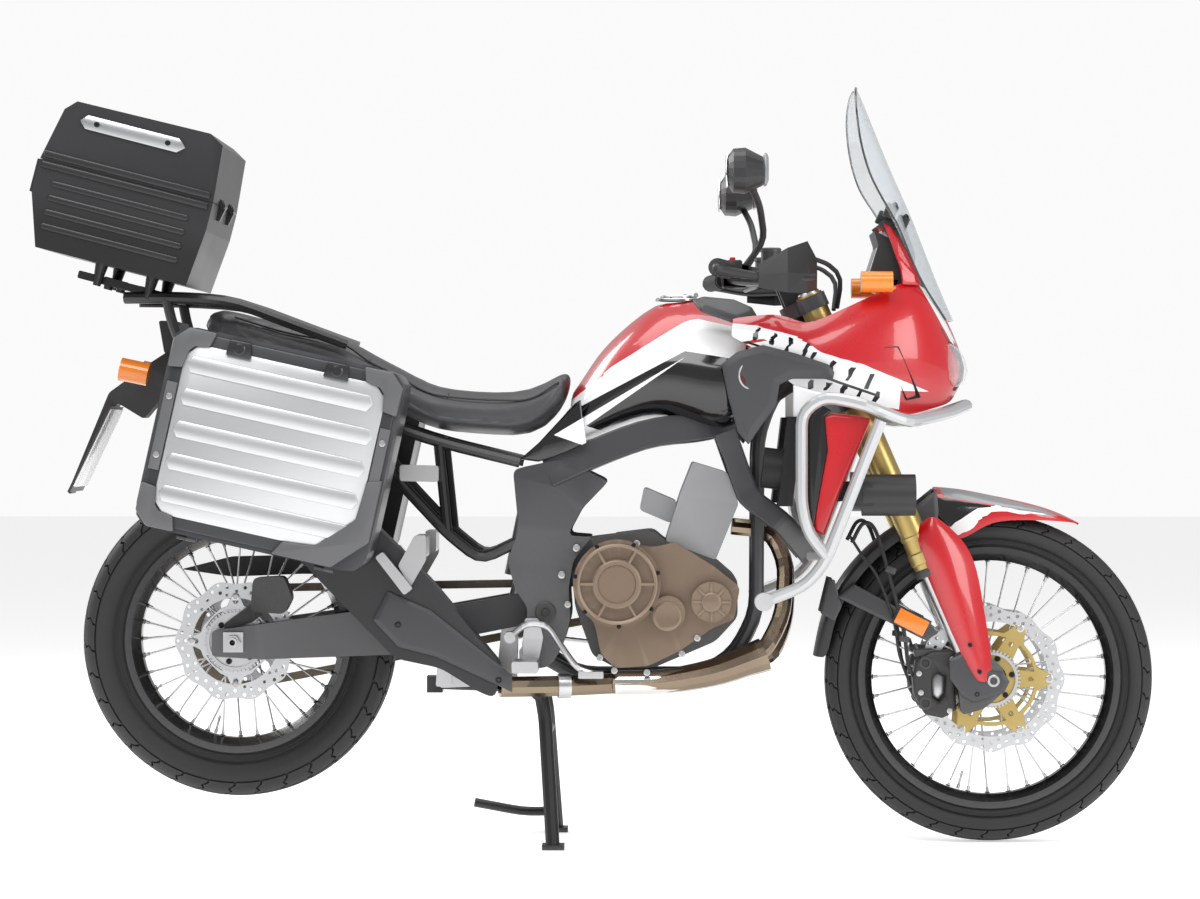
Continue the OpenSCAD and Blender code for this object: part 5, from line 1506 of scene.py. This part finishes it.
for node_name, node_finish in (
        ("main_frame", frame_paint), ("subframe", tube_black), ("swingarm", arm_paint),
        ("rear_axle", bright_steel), ("rear_shock", bright_steel), ("engine", dark_cast),
        ("engine_covers", bronze_cast), ("cylinder_head", grey_cast), ("radiators", cooler_black),
        ("exhaust_pipes", header_steel), ("silencer", moulded_black), ("drive_chain", chain_steel),
        ("rear_hugger", moulded_black), ("fuel_tank", red_paint), ("seat", moulded_grey),
        ("front_cowl", red_paint), ("side_shrouds", moulded_grey), ("radiator_shrouds", red_paint),
        ("windscreen", screen_clear), ("instrument_panel", moulded_black), ("headlights", lens_clear),
        ("crash_bars", silver_tube), ("fog_lamps", moulded_black), ("rear_carrier", tube_black),
        ("tail_unit", moulded_black), ("indicators", amber), ("footrests", bright_steel),
        ("foot_controls", bright_steel), ("rear_caliper", dark_cast), ("pannier_shells", case_black),
        ("top_box_base", case_black), ("top_box_lid", case_black), ("pannier_lid_right", case_frame),
        ("pannier_lid_left", case_frame), ("fuel_cap", bright_steel), ("centre_stand", tube_black),
        ("side_stand", tube_black), ("fork", gold_alloy), ("fork_guards", red_paint),
        ("front_mudguard", red_paint), ("front_calipers", dark_cast), ("handlebar", tube_black),
        ("hand_guards", moulded_black), ("mirrors", moulded_black), ("bar_cables", rubber),
        ("front_axle", bright_steel), ("front_tyre", tyre_rubber), ("front_wheel", rim_black),
        ("front_discs", disc_steel), ("rear_tyre", tyre_rubber), ("rear_wheel", rim_black),
        ("rear_disc", disc_steel), ("rear_sprocket", bright_steel)):
    finish_node(node_name, node_finish)


def split_wheel(node, hub, bead):
    """Black rim and hub, bright spokes."""
    def distance(x, z):
        return math.hypot(x - (hub.x - rear_x) * 1000, z - hub.z * 1000)
    sort_faces(node, [(spoke_steel, lambda x, y, z: 44 < distance(x, z) < bead - 21),
        (rim_black, lambda x, y, z: True)])


split_wheel("front_wheel", front_hub, FRONT_BEAD)
split_wheel("rear_wheel", rear_hub, REAR_BEAD)


def fork_place(x, z):
    dx, c, s = x - STEER_FLOOR, math.cos(RAKE), math.sin(RAKE)
    return dx * c + z * s, z * c - dx * s


sort_faces("fork", [
    (dark_cast, lambda x, y, z: fork_place(x, z)[1] < 441),
    (bright_steel, lambda x, y, z: fork_place(x, z)[1] < 620.5),
    (frame_paint, lambda x, y, z: 993 < fork_place(x, z)[1] < 1245 and (abs(y) < 76
        or 993 < fork_place(x, z)[1] < 1045 or 1213 < fork_place(x, z)[1])),
    (gold_alloy, lambda x, y, z: True)])


# ---- Studio ----

def pale(name, colour):
    material = finish(name, colour, 0.6, bump=0.0, blotch=colour, edge_amount=0.0)
    return material


def build_stage():
    nothing_selected()
    bpy.ops.mesh.primitive_plane_add(size=60, location=(0, 0, -0.001))
    floor = settle(take("studio_floor"))
    paper = pale("studio_floor_paper", (0.93, 0.93, 0.93))
    shader = next(node for node in paper.node_tree.nodes if node.type == "BSDF_PRINCIPLED")
    shader.inputs["Emission Color"].default_value = (1, 1, 1, 1)
    shader.inputs["Emission Strength"].default_value = 0.48
    floor.data.materials.append(paper)
    world = bpy.context.scene.world or bpy.data.worlds.new("studio")
    bpy.context.scene.world = world
    world.use_nodes = True
    background = world.node_tree.nodes["Background"]
    background.inputs["Color"].default_value = (1, 1, 1, 1)
    ray = add(world.node_tree, "ShaderNodeLightPath")
    level = add(world.node_tree, "ShaderNodeMapRange", [("Value", ray.outputs["Is Camera Ray"])])
    level.inputs["To Min"].default_value = 0.42
    level.inputs["To Max"].default_value = 0.96
    world.node_tree.links.new(level.outputs[0], background.inputs["Strength"])
    bpy.context.scene.view_settings.view_transform = "Standard"
    for name, place, size, power, aim in (
            ("key_softbox", (-1.2, -3.6, 4.6), (4.5, 2.4), 170, (0, 0, 0.7)),
            ("front_softbox", (4.2, -3.2, 2.4), (2.0, 3.0), 90, (0.6, 0, 0.8)),
            ("top_softbox", (0.0, 0.6, 5.2), (6.0, 3.0), 150, (0, 0, 0.6)),
            ("rim_softbox", (-3.5, 3.5, 3.0), (2.5, 2.5), 110, (0, 0, 0.8))):
        light = bpy.data.lights.new(name, "AREA")
        light.shape = "RECTANGLE"
        light.size, light.size_y = size
        light.energy = power
        obj = bpy.data.objects.new(name, light)
        bpy.context.scene.collection.objects.link(obj)
        obj.location = place
        obj.rotation_euler = (Vector(aim) - Vector(place)).to_track_quat("-Z", "Y").to_euler()


def build_camera():
    data = bpy.data.cameras.new("studio_camera")
    data.sensor_width = 36
    data.lens = 111.4
    data.clip_end = 100
    camera = bpy.data.objects.new("studio_camera", data)
    bpy.context.scene.collection.objects.link(camera)
    camera.location = at(873, -7900, 870)
    look = at(766, 0, 831) - camera.location
    camera.rotation_euler = look.to_track_quat("-Z", "Y").to_euler()
    bpy.context.scene.camera = camera


build_stage()
build_camera()
